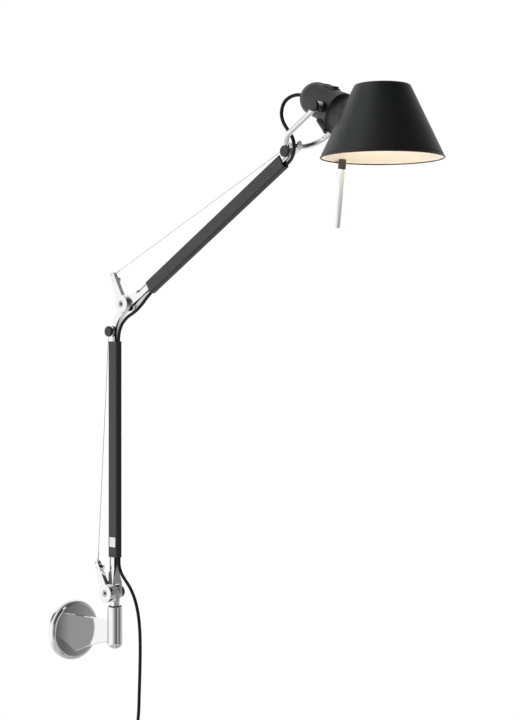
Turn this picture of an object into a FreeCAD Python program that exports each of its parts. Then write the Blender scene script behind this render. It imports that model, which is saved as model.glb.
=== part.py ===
import FreeCAD, Part
import math
import os

# A spring-balanced wall lamp: a swivel bracket, two arms with a lever and a tension wire each, a fork
# and a tilting head with a conical shade. Sizes are in millimetres. The wall is the plane y = 0, the
# lamp reaches out along -Y, and Z points up. The origin is the middle of the wall plate's back.

# Fits
RUNNING = 0.06          # radial clearance of a shaft that turns in its bore
SIDE_GAP = 0.3          # gap between faces that turn past each other
SEAT_GAP = 0.1          # gap round a piece that is pushed into its seat

# Wall fixing
ROSETTE_R = 49.0
ROSETTE_DEPTH = 12.0
ROSETTE_WALL = 3.5
ROSETTE_ROUND = 7.0     # rounding of its front rim
PLATE_T = 3.5
SCREW_HOLE_R = 2.6
SCREW_SPACING = 56.0

# Bracket: a web with a socket tube at its end
POST_Y = -110.0         # the swivel axis
WEB_T = 6.0
WEB_TOP = 26.0
WEB_FOOT = -35.0        # lower edge at the rosette
WEB_NOSE = -7.0         # lower edge at the tube
TUBE_R = 12.0
TUBE_TOP = 50.0
TUBE_BOTTOM = -17.0
SPINDLE_R = 6.0
SPINDLE_LENGTH = 46.0
BUSH_T = 2.0
BUSH_FLANGE_T = 1.0
STEM_R = 7.5            # collar between the tube and the tongue

# Arm pivots, both arms' clevis joints are alike
PIVOT = (5.0, 22.0)     # lower pivot: behind the swivel's axis, and above the tube
ELBOW = (39.5, 59.0)    # elbow: in front of the lower pivot, and above the lower sleeve
FORK_EYE = (1.04, 31.94)    # fork's pivot: in front of the upper arm's line, and beyond its sleeve
FORK_REACH = 88.05      # from the fork's pivot to the head's
FORK_RISE = 30.96       # angle above level
LOWER_LEAN = 0.0        # angle of each arm from upright, forward
UPPER_LEAN = 59.0
HUB_R = 12.0
TONGUE_T = 8.0
CHEEK_T = 5.2
BOSS_R = 7.0            # the lever's boss, which the near cheek turns on
BOLT_R = 4.0
BOLT_HEAD_R = 5.6
BOLT_HEAD_T = 4.0
KNOB_R = 9.0
KNOB_T = 8.0

# Levers
LEVER_HUB_R = 14.5
LEVER_T = 7.0
LEVER_GAP = 0.5         # between the lever and the cheek
LEVER_REACH = 52.0
LEVER_BACK = 26.0       # angle from upright, towards the wall
LEVER_TIP_R = 4.6
LEVER_SLOT = 2.4
LEVER_PIN_R = 1.6
DISC_AT = 42.5          # the clamp disc's place along the lever
DISC_R = 6.0
DISC_T = 4.0

# Sleeves, in arm terms: u runs along the arm from its pivot, v to the front
SLEEVE_V = 21.0
SLEEVE_X = 12.0
SLEEVE_WALL = 1.3
SLEEVE_ROUND = 2.5
SLEEVE_BACK = -5.5      # v of its back face
CABLE_CHANNEL = 6.4
SLEEVE_START = 57.0
LOWER_SLEEVE = 345.0
UPPER_SLEEVE = 338.0
FOOT_NECK = (0.6, 6.1)  # v range of the casting where it enters the sleeve

# Springs and wires
SPRING_R = 4.4
SPRING_WIRE = 1.4
SPRING_START = 95.0
SPRING_LENGTH = 205.0
ADJUSTER_R = 1.25
ADJUSTER_X = -3.3
ADJUSTER_V = -2.8
NUT_R = 2.9
NUT_U = 31.0
WIRE_R = 0.6
PULLEY_WIRE_R = 5.75    # radius of the wire's middle on the pulley
PULLEY_R = 7.4
PULLEY_T = 3.6
PULLEY_X = -3.7         # middle of the groove
PULLEY_V = -0.75
PULLEY_U = 16.0         # beyond the sleeve's end
AXLE_R = 2.5
CAP_R = 8.5
CAP_FACE = -11.0        # x of the near cap's face

# Elbow neck and top neck
NECK_V = 2.5
NECK_HALF = 5.6
NECK_BEND = 45.0
EYE_R = 7.2
EYE_HALF = 5.0

# Fork
ROD_R = 4.0
FORK_GAP = 8.5          # from the head's side to the middle of a tine
FORK_FLAT = 6.5
TINE_EYE_R = 7.4
TINE_EYE_T = 8.6
TILT_SCREW_R = 3.0
TILT_KNOB_R = 8.0
TILT_KNOB_T = 5.0

# Head, along its own axis: t = 0 beside the head pivot, positive towards the shade
HEAD_DIP = 24.3         # how far the axis dips, and the shade's half angle
HEAD_BELOW = 5.0        # the axis passes this far under the pivot
DOME_R = 27.0
DOME_T = -31.0
HEAD_R = 28.5
FLANGE_R = 33.0
FLANGE_T = (7.5, 12.0)
HEAD_WALL = 2.5
COLLAR_R = 24.0
COLLAR_GAP = 1.2        # the collar ends this far short of the shade's side
SPIGOT_R = 20.0
LOCK_RING_R = 23.5
LOCK_RING = (9.5, 13.0)     # beyond the shade's side
HOLDER_R = 14.0
LAMP_CAP_R = 7.0
GLOBE_R = 22.5
GLOBE_T = 31.0          # from the cap's end to the globe's middle
ROCKER = (17.0, 11.0)   # length and width
ROCKER_T = -19.0
ROCKER_LEAN = 6.0
ROCKER_PIVOT = 27.0     # the rocker's axis above the head's axis

# Shade
SHADE_T = 37.0          # where the head's axis meets the shade's side
SHADE_SIDE = 44.5       # how far that is above the edge, where the cone turns into the lip
SHADE_R = 75.0
SHADE_TOP_R = SHADE_R / 2
LIP = (10.0, 9.0)       # how far the lip flares and drops
SHADE_WALL = 1.2
SHADE_TOP_ROUND = 5.0

# Pull rod under the shade
GRIP_INSET = 18.0       # from the lip to the rod's upper end
GRIP_UP = 3.0           # its upper end, above the edge
GRIP_LENGTH = 107.7
GRIP_LEAN = 6.66        # angle from upright, its foot towards the wall
GRIP_R = (3.9, 2.8)
GRIP_SOCKET_R = 5.4
GRIP_SOCKET = 22.0

# Cables
CORD_R = 2.6
CORD_SIDES = 8          # flat sides of a cable's solid
CORD_X = 1.5
CORD_V = 11.5
COIL_R = 33.0
COIL_PITCH = 6.4        # from turn to turn and from layer to layer
COIL_LAYERS = 4
COIL_Y = -175.0
COIL_Z = -218.0
PLUG_BODY = (33.0, 25.0, 13.0)   # length, width, thickness
PLUG_PIN_R = 2.0
PLUG_PIN = 19.0
PLUG_SPACING = 18.6
TAIL = 24.0             # cord between the coil and the plug

V = FreeCAD.Vector
S = math.sqrt(0.5)
X, Y, Z = V(1, 0, 0), V(0, 1, 0), V(0, 0, 1)
TONGUE = TONGUE_T / 2
CHEEK_IN = TONGUE + SIDE_GAP
CHEEK_OUT = CHEEK_IN + CHEEK_T
LEVER_X = -(CHEEK_OUT + LEVER_GAP)
SLEEVE_FRONT = SLEEVE_BACK + SLEEVE_V
WEB_V = SLEEVE_FRONT - SLEEVE_WALL - CABLE_CHANNEL
FORK_HALF = HEAD_R + FORK_GAP
COLLAR_END = SHADE_T - COLLAR_GAP


def polar(start, angle, out, along):
    """The point (y, z) that is along on a line leaning forward from upright by an angle, and out from it."""
    a = math.radians(angle)
    return (start[0] - out * math.cos(a) - along * math.sin(a),
            start[1] - out * math.sin(a) + along * math.cos(a))


# The four pivots, as (y, z)
P1 = (POST_Y + PIVOT[0], TUBE_TOP + PIVOT[1])
P2 = (P1[0] - ELBOW[0], P1[1] + SLEEVE_START + LOWER_SLEEVE + ELBOW[1])
P3 = polar(P2, UPPER_LEAN, FORK_EYE[0], SLEEVE_START + UPPER_SLEEVE + FORK_EYE[1])
P4 = polar(P3, 90 - FORK_RISE, 0, FORK_REACH)


# ---- shapes ----

def rod(a, b, radius):
    """A round bar from point a to point b."""
    a, b = V(*a), V(*b)
    return Part.makeCylinder(radius, (b - a).Length, a, b - a)


def block(x, y, z):
    """A box from its x, y and z ranges."""
    return Part.makeBox(x[1] - x[0], y[1] - y[0], z[1] - z[0], V(x[0], y[0], z[0]))


def outline(start, *steps):
    """A closed wire of lines, and of arcs where a step is a pair: a point on the way and the end."""
    edges, here = [], start
    for step in steps:
        if isinstance(step, tuple):
            edges.append(Part.Arc(here, step[0], step[1]).toShape())
            here = step[1]
        else:
            edges.append(Part.makeLine(here, step))
            here = step
    if (here - start).Length > 1e-6:
        edges.append(Part.makeLine(here, start))
    return Part.Wire(edges)


def turned(start, *steps):
    """A solid of revolution about Z. Points are (radius, height)."""
    def up(p):
        return tuple(V(r, 0, h) for r, h in p) if isinstance(p[0], tuple) else V(p[0], 0, p[1])
    return Part.Face(outline(up(start), *[up(s) for s in steps])).revolve(V(0, 0, 0), Z, 360)


def facing(shape, at, towards):
    """Stand a shape made about Z at a point, with Z turned to the given direction."""
    made = shape.copy()
    made.Placement = FreeCAD.Placement(V(*at), FreeCAD.Rotation(Z, V(*towards)))
    return made


def strap(a, a_radius, b, b_radius, x):
    """The plate that two circles and their outer tangents bound, a and b as (y, z), between two x."""
    a3, b3 = V(x[0], a[0], a[1]), V(x[0], b[0], b[1])
    along = (b3 - a3).normalize()
    side = V(0, -along.z, along.y)
    sink = (a_radius - b_radius) / (V(0, b[0] - a[0], b[1] - a[1]).Length)
    lean = math.sqrt(1 - sink * sink)
    out, back = along * sink + side * lean, along * sink - side * lean
    wire = outline(
        a3 + out * a_radius, b3 + out * b_radius,
        (b3 + along * b_radius, b3 + back * b_radius), a3 + back * a_radius,
        (a3 - along * a_radius, a3 + out * a_radius),
    )
    return Part.Face(wire).extrude(V(x[1] - x[0], 0, 0))


def rounded_outline(x, y, radius, z):
    """A level rectangle with rounded corners, at a height."""
    (x0, x1), (y0, y1), r = x, y, radius
    c = r * (1 - S)
    return outline(
        V(x0 + r, y0, z), V(x1 - r, y0, z), (V(x1 - c, y0 + c, z), V(x1, y0 + r, z)),
        V(x1, y1 - r, z), (V(x1 - c, y1 - c, z), V(x1 - r, y1, z)),
        V(x0 + r, y1, z), (V(x0 + c, y1 - c, z), V(x0, y1 - r, z)),
        V(x0, y0 + r, z), (V(x0 + c, y0 + c, z), V(x0 + r, y0, z)),
    )


def rounded(x, y, radius, z):
    """An upright bar with a rounded rectangle for its section."""
    return Part.Face(rounded_outline(x, y, radius, z[0])).extrude(V(0, 0, z[1] - z[0]))


def swept(edges, radius, sides=0):
    """A bar along a path of joined edges, round, or with that many flat sides inside the round."""
    path = Part.Wire(edges)
    first = path.Edges[0]
    at, way = first.valueAt(first.FirstParameter), first.tangentAt(first.FirstParameter)
    if not sides:
        section = Part.Wire([Part.Circle(at, way, radius).toShape()])
    else:
        across = way.cross(X)
        beside = way.cross(across)
        angles = [2 * math.pi * (n + 0.5) / sides for n in range(sides)]
        rim = [at + across * (radius * math.cos(a)) + beside * (radius * math.sin(a)) for a in angles]
        section = outline(rim[0], *rim[1:])
    return path.makePipeShell([section], True, False)


def sided_area(radius, sides):
    return sides / 2 * radius ** 2 * math.sin(2 * math.pi / sides)


def route(points, radius, name):
    """A cable: straight runs joined by arcs as large as the runs allow. Prints the tightest radius."""
    points = [V(*p) for p in points]
    edges, here, length, tightest = [], points[0], 0.0, 1e9
    for before, corner, after in zip(points, points[1:], points[2:]):
        way_in, way_out = (corner - before).normalize(), (after - corner).normalize()
        turn = way_in.getAngle(way_out)
        reach = 0.45 * min((corner - before).Length, (after - corner).Length)
        bend = reach / math.tan(turn / 2)
        start, end = corner - way_in * reach, corner + way_out * reach
        middle = corner + (way_out - way_in).normalize() * bend * (1 / math.cos(turn / 2) - 1)
        edges += [Part.makeLine(here, start), Part.Arc(start, middle, end).toShape()]
        length += (start - here).Length + bend * turn
        here, tightest = end, min(tightest, bend)
    edges.append(Part.makeLine(here, points[-1]))
    length += (points[-1] - here).Length
    solid = swept(edges, radius, CORD_SIDES)
    share = solid.Volume / (sided_area(radius, CORD_SIDES) * length)
    print(f"{name}: {length:.0f} mm long, tightest bend {tightest:.1f} mm, volume {share:.4f} of section x length")
    return solid


def stand(shape, pivot, lean):
    """Move a shape from an upright arm's own frame to its pivot, leaning forward."""
    made = shape.copy()
    turn = FreeCAD.Placement(V(0, pivot[0], pivot[1]), FreeCAD.Rotation(X, lean))
    made.Placement = turn.multiply(made.Placement)
    return made


def on_arm(pivot, lean, x, v, u):
    """A point of an arm, given as x, v and u, in the lamp's frame."""
    turn = FreeCAD.Placement(V(0, pivot[0], pivot[1]), FreeCAD.Rotation(X, lean))
    return turn.multVec(V(x, -v, u))


# ---- wall fixing and bracket ----

def wall_plate():
    """The flat plate that the wall screws hold, inside the rosette."""
    fit = ROSETTE_R - ROSETTE_WALL - SEAT_GAP
    plate = Part.makeCylinder(fit, PLATE_T, V(0, 0, 0), -Y)
    for x in (-SCREW_SPACING / 2, SCREW_SPACING / 2):
        plate = plate.cut(rod((x, 1, 0), (x, -PLATE_T - 1, 0), SCREW_HOLE_R))
    return plate


def rosette():
    """The polished round cover over the wall plate, open at its back."""
    r, d, w, q = ROSETTE_R, ROSETTE_DEPTH, ROSETTE_WALL, ROSETTE_ROUND
    c = q * (1 - S)
    shell = turned(
        (r, 0), (r, d - q), ((r - c, d - c), (r - q, d)), (0, d), (0, d - w),
        (r - q, d - w), ((r - w - (q - w) * 0.3, d - w - (q - w) * 0.3), (r - w, d - q)), (r - w, 0),
    )
    cover = facing(shell, (0, 0, 0), (0, -1, 0))
    cover = cover.cut(rod((0, 0, -4.5), (0, -d - 1, -4.5), 2 + SEAT_GAP))
    return cover.cut(rod((0, -PLATE_T / 2, -r - 1), (0, -PLATE_T / 2, -r + w + 1), 1.6))


def rosette_screw():
    """The small screw through the rim that holds the rosette on the wall plate."""
    top = -ROSETTE_R + ROSETTE_WALL + SEAT_GAP
    return rod((0, -PLATE_T / 2, -ROSETTE_R + 0.4), (0, -PLATE_T / 2, top), 1.6)


def bracket_screw():
    """The screw from inside the rosette into the end of the web."""
    face = ROSETTE_DEPTH - ROSETTE_WALL
    head = rod((0, -face + 3.0, -4.5), (0, -face, -4.5), 4.5)
    return head.fuse(rod((0, -face, -4.5), (0, -face - 18, -4.5), 2.0)).removeSplitter()


def wall_bracket():
    """The web, deepest at the rosette, cast in one with the round-bottomed socket tube."""
    half, at, reach = WEB_T / 2, -ROSETTE_DEPTH, POST_Y + TUBE_R / 2
    web = outline(
        V(-half, at, WEB_TOP), V(-half, reach, WEB_TOP), V(-half, reach, WEB_NOSE),
        (V(-half, at * 0.5 + reach * 0.5, WEB_NOSE - 10.5), V(-half, at, WEB_FOOT)),
    )
    web = Part.Face(web).extrude(V(WEB_T, 0, 0))
    web = web.makeChamfer(0.8, [e for e in web.Edges if abs(e.CenterOfMass.x) > half - 0.1
                                and at - 1 > e.CenterOfMass.y > reach + 1])
    r = TUBE_R
    tube = turned(
        (0, TUBE_BOTTOM), (r * 0.35, TUBE_BOTTOM),
        ((r * 0.83, TUBE_BOTTOM + r * 0.27), (r, TUBE_BOTTOM + r)), (r, TUBE_TOP - 0.8),
        (r - 0.8, TUBE_TOP), (0, TUBE_TOP),
    )
    tube.translate(V(0, POST_Y, 0))
    bore = rod((0, POST_Y, TUBE_TOP - SPINDLE_LENGTH - 2), (0, POST_Y, TUBE_TOP + 1), SPINDLE_R + BUSH_T)
    made = web.fuse(tube).cut(bore)
    return made.cut(rod((0, 0, -4.5), (0, at - 16, -4.5), 2.0)).removeSplitter()


def swivel_bush():
    """The flanged bush that the spindle turns in."""
    inner, outer = SPINDLE_R + RUNNING, SPINDLE_R + BUSH_T
    bottom = TUBE_TOP - SPINDLE_LENGTH
    bush = turned(
        (inner, bottom), (outer, bottom), (outer, TUBE_TOP), (TUBE_R - 1.2, TUBE_TOP),
        (TUBE_R - 1.2, TUBE_TOP + BUSH_FLANGE_T), (inner, TUBE_TOP + BUSH_FLANGE_T),
    )
    bush.translate(V(0, POST_Y, 0))
    return bush


# ---- pieces of a joint, about a pivot at (0, 0), upright ----

def tongue_bore():
    return rod((-20, 0, 0), (20, 0, 0), BOLT_R + RUNNING)


def stem():
    """The spindle in the bracket, with a collar and a tongue that ends in the lower pivot."""
    base = TUBE_TOP + BUSH_FLANGE_T + SEAT_GAP
    spindle = rod((0, POST_Y, TUBE_TOP - SPINDLE_LENGTH + 0.5), (0, POST_Y, base), SPINDLE_R)
    top = P1[1] - HUB_R - SIDE_GAP
    collar = rod((0, POST_Y, base), (0, POST_Y, top), STEM_R)
    collar = collar.makeChamfer(0.6, [collar.Edges[0]])
    tongue = strap((P1[0], P1[1]), HUB_R, (POST_Y, base + STEM_R - 1), STEM_R - 1, (-TONGUE, TONGUE))
    tongue = tongue.cut(block((-20, 20), (POST_Y - 40, 0), (0, base + 0.5)))
    tongue = tongue.cut(stand(tongue_bore(), P1, 0))
    return spindle.fuse([collar, tongue]).removeSplitter()


def lever():
    """The lever that holds the wire's end: a hub with a boss, and an arm that is slotted at its tip."""
    outer = LEVER_X - LEVER_T
    tip = lever_point(LEVER_REACH)
    made = rod((outer, 0, 0), (LEVER_X, 0, 0), LEVER_HUB_R)
    made = made.makeFillet(1.5, [e for e in made.Edges if e.Length > 3 * LEVER_HUB_R
                                 and abs(e.CenterOfMass.x - outer) < 0.1])
    made = made.fuse(strap((0, 0), 8.5, tip, LEVER_TIP_R, (outer, LEVER_X)))
    made = made.fuse(rod((LEVER_X, 0, 0), (-TONGUE, 0, 0), BOSS_R))
    made = made.cut(tongue_bore())
    made = made.cut(rod((outer - 1, 0, 0), (outer + BOLT_HEAD_T, 0, 0), BOLT_HEAD_R + SEAT_GAP))
    for reach in (LEVER_REACH, DISC_AT):
        y, z = lever_point(reach)
        made = made.cut(rod((outer - 1, y, z), (LEVER_X + 1, y, z), LEVER_PIN_R))
    slot = block(wire_slot(), (-LEVER_TIP_R * 2, LEVER_TIP_R * 2), (LEVER_REACH - 5.5, LEVER_REACH + 20))
    slot.rotate(V(0, 0, 0), X, -LEVER_BACK)
    return made.cut(slot).removeSplitter()


def lever_point(reach):
    """A point on the lever's middle line, as (y, z) from its pivot."""
    a = math.radians(LEVER_BACK)
    return (reach * math.sin(a), reach * math.cos(a))


def wire_slot():
    middle = LEVER_X - LEVER_T * 0.35
    return (middle - LEVER_SLOT / 2, middle + LEVER_SLOT / 2)


def lever_pin():
    """The cross pin in the lever's tip."""
    y, z = lever_point(LEVER_REACH)
    return rod((LEVER_X - LEVER_T + 0.3, y, z), (LEVER_X - 0.3, y, z), LEVER_PIN_R)


def lever_disc():
    """The round disc on the inner side of the lever, on its own pin."""
    y, z = lever_point(DISC_AT)
    inner = LEVER_X + DISC_T
    disc = rod((LEVER_X, y, z), (inner, y, z), DISC_R)
    disc = disc.makeFillet(0.8, [e for e in disc.Edges if abs(e.CenterOfMass.x - inner) < 0.1
                                 and e.Length > 5])
    return disc.fuse(rod((LEVER_X - LEVER_T + 0.3, y, z), (LEVER_X, y, z), LEVER_PIN_R)).removeSplitter()


def pivot_bolt():
    """The bolt through the lever, the tongue and the cheeks, with a hexagon socket in its head."""
    outer = LEVER_X - LEVER_T
    head = rod((outer + 0.3, 0, 0), (outer + BOLT_HEAD_T, 0, 0), BOLT_HEAD_R)
    corners = [V(outer, 3.0 * math.cos(a), 3.0 * math.sin(a)) for a in
               (math.radians(60 * i) for i in range(6))]
    socket = Part.Face(outline(corners[0], *corners[1:])).extrude(V(BOLT_HEAD_T - 0.6, 0, 0))
    shank = rod((outer + BOLT_HEAD_T, 0, 0), (CHEEK_OUT + KNOB_T - 1.5, 0, 0), BOLT_R)
    return head.cut(socket).fuse(shank).removeSplitter()


def pivot_knob():
    """The round nut on the bolt's far end."""
    start, end = CHEEK_OUT + SIDE_GAP, CHEEK_OUT + SIDE_GAP + KNOB_T
    knob = rod((start, 0, 0), (end, 0, 0), KNOB_R)
    knob = knob.makeFillet(1.5, [e for e in knob.Edges if abs(e.CenterOfMass.x - end) < 0.1
                                 and e.Length > 5])
    return knob.cut(rod((start - 1, 0, 0), (CHEEK_OUT + KNOB_T - 1.5, 0, 0), BOLT_R))


# ---- pieces of an arm, upright, with its pivot at the origin ----

def channel_x():
    half = SLEEVE_X / 2 - SLEEVE_WALL
    return (-half, half)


def foot():
    """The clevis that turns on the pivot and carries the sleeve, with an ear for the spring's rod."""
    neck_v = (FOOT_NECK[0] + FOOT_NECK[1] + 2) / 2
    neck_half = (FOOT_NECK[1] + 2 - FOOT_NECK[0]) / 2
    side = strap((0, 0), HUB_R, (-neck_v, 42), neck_half, (-20, 20))
    side = side.fuse(block((-20, 20), (-neck_v - neck_half, -neck_v + neck_half), (42, SLEEVE_START)))
    w, n = CHEEK_OUT, SLEEVE_X / 2 - SLEEVE_WALL - SEAT_GAP
    front = outline(
        V(-w, -40, -HUB_R - 1), V(w, -40, -HUB_R - 1), V(w, -40, HUB_R + 4), V(n, -40, 38),
        V(n, -40, SLEEVE_START), V(-n, -40, SLEEVE_START), V(-n, -40, 38), V(-w, -40, HUB_R + 4),
    )
    made = side.common(Part.Face(front).extrude(V(0, 80, 0)))
    ear = strap((-ADJUSTER_V - 0.2, 20), 3.4, (-ADJUSTER_V - 0.2, 27.6), 3.4, (-6.6, -1.0))
    made = made.fuse(ear)
    spot = rod((ADJUSTER_X, -ADJUSTER_V, NUT_U), (ADJUSTER_X, -ADJUSTER_V, SLEEVE_START - 2), NUT_R + 0.4)
    made = made.cut(spot)
    slot = block((-CHEEK_IN, CHEEK_IN), (-20, 20), (-20, HUB_R + 2.5))
    made = made.cut(slot)
    made = made.cut(rod((-20, 0, 0), (0, 0, 0), BOSS_R + RUNNING))
    made = made.cut(rod((0, 0, 0), (20, 0, 0), BOLT_R + RUNNING))
    tenon = rounded((-n, n), (-FOOT_NECK[1], -FOOT_NECK[0]), 1.0, (SLEEVE_START - 0.5, 80))
    hole = rod((ADJUSTER_X, -ADJUSTER_V, 17), (ADJUSTER_X, -ADJUSTER_V, 60), ADJUSTER_R + RUNNING)
    return made.fuse(tenon).cut(hole).removeSplitter()


def sleeve(length):
    """The extruded sleeve, with a channel for the spring at the back and one for the cable in front."""
    ends = (SLEEVE_START, SLEEVE_START + length)
    half = SLEEVE_X / 2
    skin = rounded((-half, half), (-SLEEVE_FRONT, -SLEEVE_BACK), SLEEVE_ROUND, ends)
    past = (ends[0] - 1, ends[1] + 1)
    spring_side = (-(WEB_V - SLEEVE_WALL), -(SLEEVE_BACK + SLEEVE_WALL))
    cable_side = (-(SLEEVE_FRONT - SLEEVE_WALL), -WEB_V)
    skin = skin.cut(rounded(channel_x(), spring_side, 1.0, past))
    return skin.cut(rounded(channel_x(), cable_side, 1.6, past))


def slide_plate(z):
    """A plate that fills the spring channel, at a height."""
    x = channel_x()
    back, front = SLEEVE_BACK + SLEEVE_WALL + SEAT_GAP, WEB_V - SLEEVE_WALL - SEAT_GAP
    return rounded((x[0] + SEAT_GAP, x[1] - SEAT_GAP), (-front, -back), 1.0, (z, z + 4.0))


def adjuster():
    """The rod from the foot's ear to the lower end of the spring, with its nut and end plate."""
    at = (ADJUSTER_X, -ADJUSTER_V)
    corners = [V(at[0] + NUT_R * math.cos(a), at[1] + NUT_R * math.sin(a), NUT_U) for a in
               (math.radians(60 * i + 30) for i in range(6))]
    nut = Part.Face(outline(corners[0], *corners[1:])).extrude(V(0, 0, 2.4))
    bar = rod((at[0], at[1], 19), (at[0], at[1], SPRING_START - 3.0), ADJUSTER_R)
    return bar.fuse([nut, slide_plate(SPRING_START - 4.0)]).removeSplitter()


def spring():
    """The close-wound tension spring in the sleeve, as the tube that its turns fill."""
    v = (SLEEVE_BACK + SLEEVE_WALL + WEB_V - SLEEVE_WALL) / 2
    ends = (0, -v, SPRING_START), (0, -v, SPRING_START + SPRING_LENGTH)
    return rod(*ends, SPRING_R).cut(rod(*ends, SPRING_R - SPRING_WIRE))


def pulley_at(length):
    return (PULLEY_X, PULLEY_V, SLEEVE_START + length + PULLEY_U)


def inner_wire(length):
    """The wire from the spring's upper end plate up to the pulley and over it."""
    x, v, u = pulley_at(length)
    r = PULLEY_WIRE_R
    plate = slide_plate(SPRING_START + SPRING_LENGTH)
    start = V(x, -(v + r), SPRING_START + SPRING_LENGTH + 3.0)
    path = [Part.makeLine(start, V(x, -(v + r), u)),
            Part.Arc(V(x, -(v + r), u), V(x, -v, u + r), V(x, -(v - r), u)).toShape()]
    return plate.fuse(swept(path, WIRE_R)).removeSplitter()


def pulley(length):
    """The grooved wheel at the end of the sleeve."""
    h, rim, floor = PULLEY_T / 2, PULLEY_R, PULLEY_WIRE_R - WIRE_R - 0.1
    wheel = turned((AXLE_R + RUNNING, -h), (rim, -h), (rim, -h + 0.5), (floor, -0.75), (floor, 0.75),
                   (rim, h - 0.5), (rim, h), (AXLE_R + RUNNING, h))
    x, v, u = pulley_at(length)
    return facing(wheel, (x, -v, u), (1, 0, 0))


def pulley_axle(length):
    """The axle of the pulley, with its round head on the far side of the neck."""
    x, v, u = pulley_at(length)
    head = turned((0, 0), (CAP_R, 0), (CAP_R, 1.0), ((CAP_R - 1.0, 2.3), (CAP_R - 3.0, 2.6)), (0, 2.9))
    bar = rod((CAP_FACE + 1.2, -v, u), (TONGUE, -v, u), AXLE_R)
    return bar.fuse(facing(head, (TONGUE, -v, u), (1, 0, 0))).removeSplitter()


def pulley_cap(length):
    """The black cap on the near end of the pulley's axle."""
    x, v, u = pulley_at(length)
    inner, hub = -CAP_FACE - 7.0, -CAP_FACE + x - PULLEY_T / 2 - SIDE_GAP
    cap = turned((AXLE_R, 1.2), (0, 1.2), (0, 0), (CAP_R - 2.0, 0), ((CAP_R - 0.5, 0.5), (CAP_R, 2.0)),
                 (CAP_R, inner), (AXLE_R + 2, inner), (AXLE_R + 2, hub), (AXLE_R, hub))
    return facing(cap, (CAP_FACE, -v, u), (1, 0, 0))


def neck_cuts(length):
    """What the neck leaves free: the wheel, the wire that runs down, and the axle's bore."""
    x, v, u = pulley_at(length)
    room = rod((-30, -v, u), (x + PULLEY_T / 2 + SIDE_GAP, -v, u), PULLEY_R + 1.0)
    wire = block((-30, PULLEY_X + WIRE_R + 0.4), (-(v + PULLEY_WIRE_R) - 1.1, -(v + PULLEY_WIRE_R) + 1.1),
                 (SLEEVE_START + length - 20, u))
    return room.fuse([wire, rod((-20, -v, u), (20, -v, u), AXLE_R)])


def neck_tenon(length):
    end = SLEEVE_START + length
    x = SLEEVE_X / 2 - SLEEVE_WALL - SEAT_GAP
    back, front = SLEEVE_BACK + SLEEVE_WALL + SEAT_GAP, WEB_V - SLEEVE_WALL - SEAT_GAP
    foot_of = rounded((PULLEY_X + WIRE_R + 1.4, x), (-front, -back), 1.0, (end - 18, end + 0.5))
    rest = block((PULLEY_X + WIRE_R + 1.4, TONGUE), (-NECK_V - NECK_HALF, -NECK_V + NECK_HALF),
                 (end, end + 1))
    return foot_of.fuse(rest)


def elbow_neck(length):
    """The gooseneck from the lower sleeve to the elbow's tongue."""
    hub_v, hub_u = P1[0] - P2[0], P2[1] - P1[1]
    start, bend = SLEEVE_START + length, 8.0
    centre = (NECK_V + NECK_BEND, start + bend)
    dv, du = hub_v - centre[0], hub_u - centre[1]
    far = math.hypot(dv, du)
    turn = math.acos(-dv / far) - math.acos(NECK_BEND / far)
    way = V(0, -math.sin(turn), math.cos(turn))

    def at(angle, radius):
        return V(-TONGUE, -(centre[0] - radius * math.cos(angle)), centre[1] + radius * math.sin(angle))

    outer, inner = NECK_BEND + NECK_HALF, NECK_BEND - NECK_HALF
    run = math.sqrt(far ** 2 - NECK_BEND ** 2)
    wire = outline(
        V(-TONGUE, -(NECK_V - NECK_HALF), start), at(0, outer), (at(turn / 2, outer), at(turn, outer)),
        at(turn, outer) + way * run, at(turn, inner) + way * run, at(turn, inner),
        (at(turn / 2, inner), at(0, inner)), V(-TONGUE, -(NECK_V + NECK_HALF), start),
    )
    bar = Part.Face(wire).extrude(V(TONGUE_T, 0, 0))
    hub = rod((-TONGUE, -hub_v, hub_u), (TONGUE, -hub_v, hub_u), HUB_R)
    bore = tongue_bore()
    bore.translate(V(0, -hub_v, hub_u))
    return bar.fuse([hub, neck_tenon(length)]).cut(neck_cuts(length)).cut(bore).removeSplitter()


def fork_at():
    """The fork's pivot in the upper arm's terms, as (v, u)."""
    a = math.radians(UPPER_LEAN)
    y, z = P3[0] - P2[0], P3[1] - P2[1]
    return (-(y * math.cos(a) + z * math.sin(a)), -y * math.sin(a) + z * math.cos(a))


def top_neck(length):
    """The end casting of the upper arm, with the eye that the fork's rod turns in."""
    v, u = fork_at()
    start = SLEEVE_START + length
    bar = strap((-NECK_V, start + 6), NECK_HALF, (-v, u), EYE_R, (-TONGUE, TONGUE))
    bar = bar.fuse(block((-TONGUE, TONGUE), (-NECK_V - NECK_HALF, -NECK_V + NECK_HALF),
                         (start, start + 6)))
    eye = rod((-EYE_HALF, -v, u), (EYE_HALF, -v, u), EYE_R)
    made = bar.fuse([eye, neck_tenon(length)]).cut(neck_cuts(length))
    made = made.cut(rod((-20, -v, u), (20, -v, u), ROD_R + RUNNING))
    return made.cut(rod((0, -v, u), (0, -v, u + 20), 1.5)).removeSplitter()


def fork_screw():
    """The screw in the eye that sets how stiffly the fork turns."""
    v, u = fork_at()
    screw = rod((0, -v, u + ROD_R + RUNNING + 0.1), (0, -v, u + EYE_R), 1.5)
    return screw.fuse(rod((0, -v, u + EYE_R), (0, -v, u + EYE_R + 2.2), 2.8)).removeSplitter()


def sleeve_bush(end):
    """The bush that the cable comes through, in the front channel at one end of a sleeve."""
    x = channel_x()
    y = (-(SLEEVE_FRONT - SLEEVE_WALL) + SEAT_GAP, -WEB_V - SEAT_GAP)
    bush = rounded((x[0] + SEAT_GAP, x[1] - SEAT_GAP), y, 1.5, (end, end + 8))
    hole = rod((CORD_X, -CORD_V, end - 1), (CORD_X, -CORD_V, end + 9), CORD_R + 0.02)
    return bush.cut(hole)


# ---- tension wires ----

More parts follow.
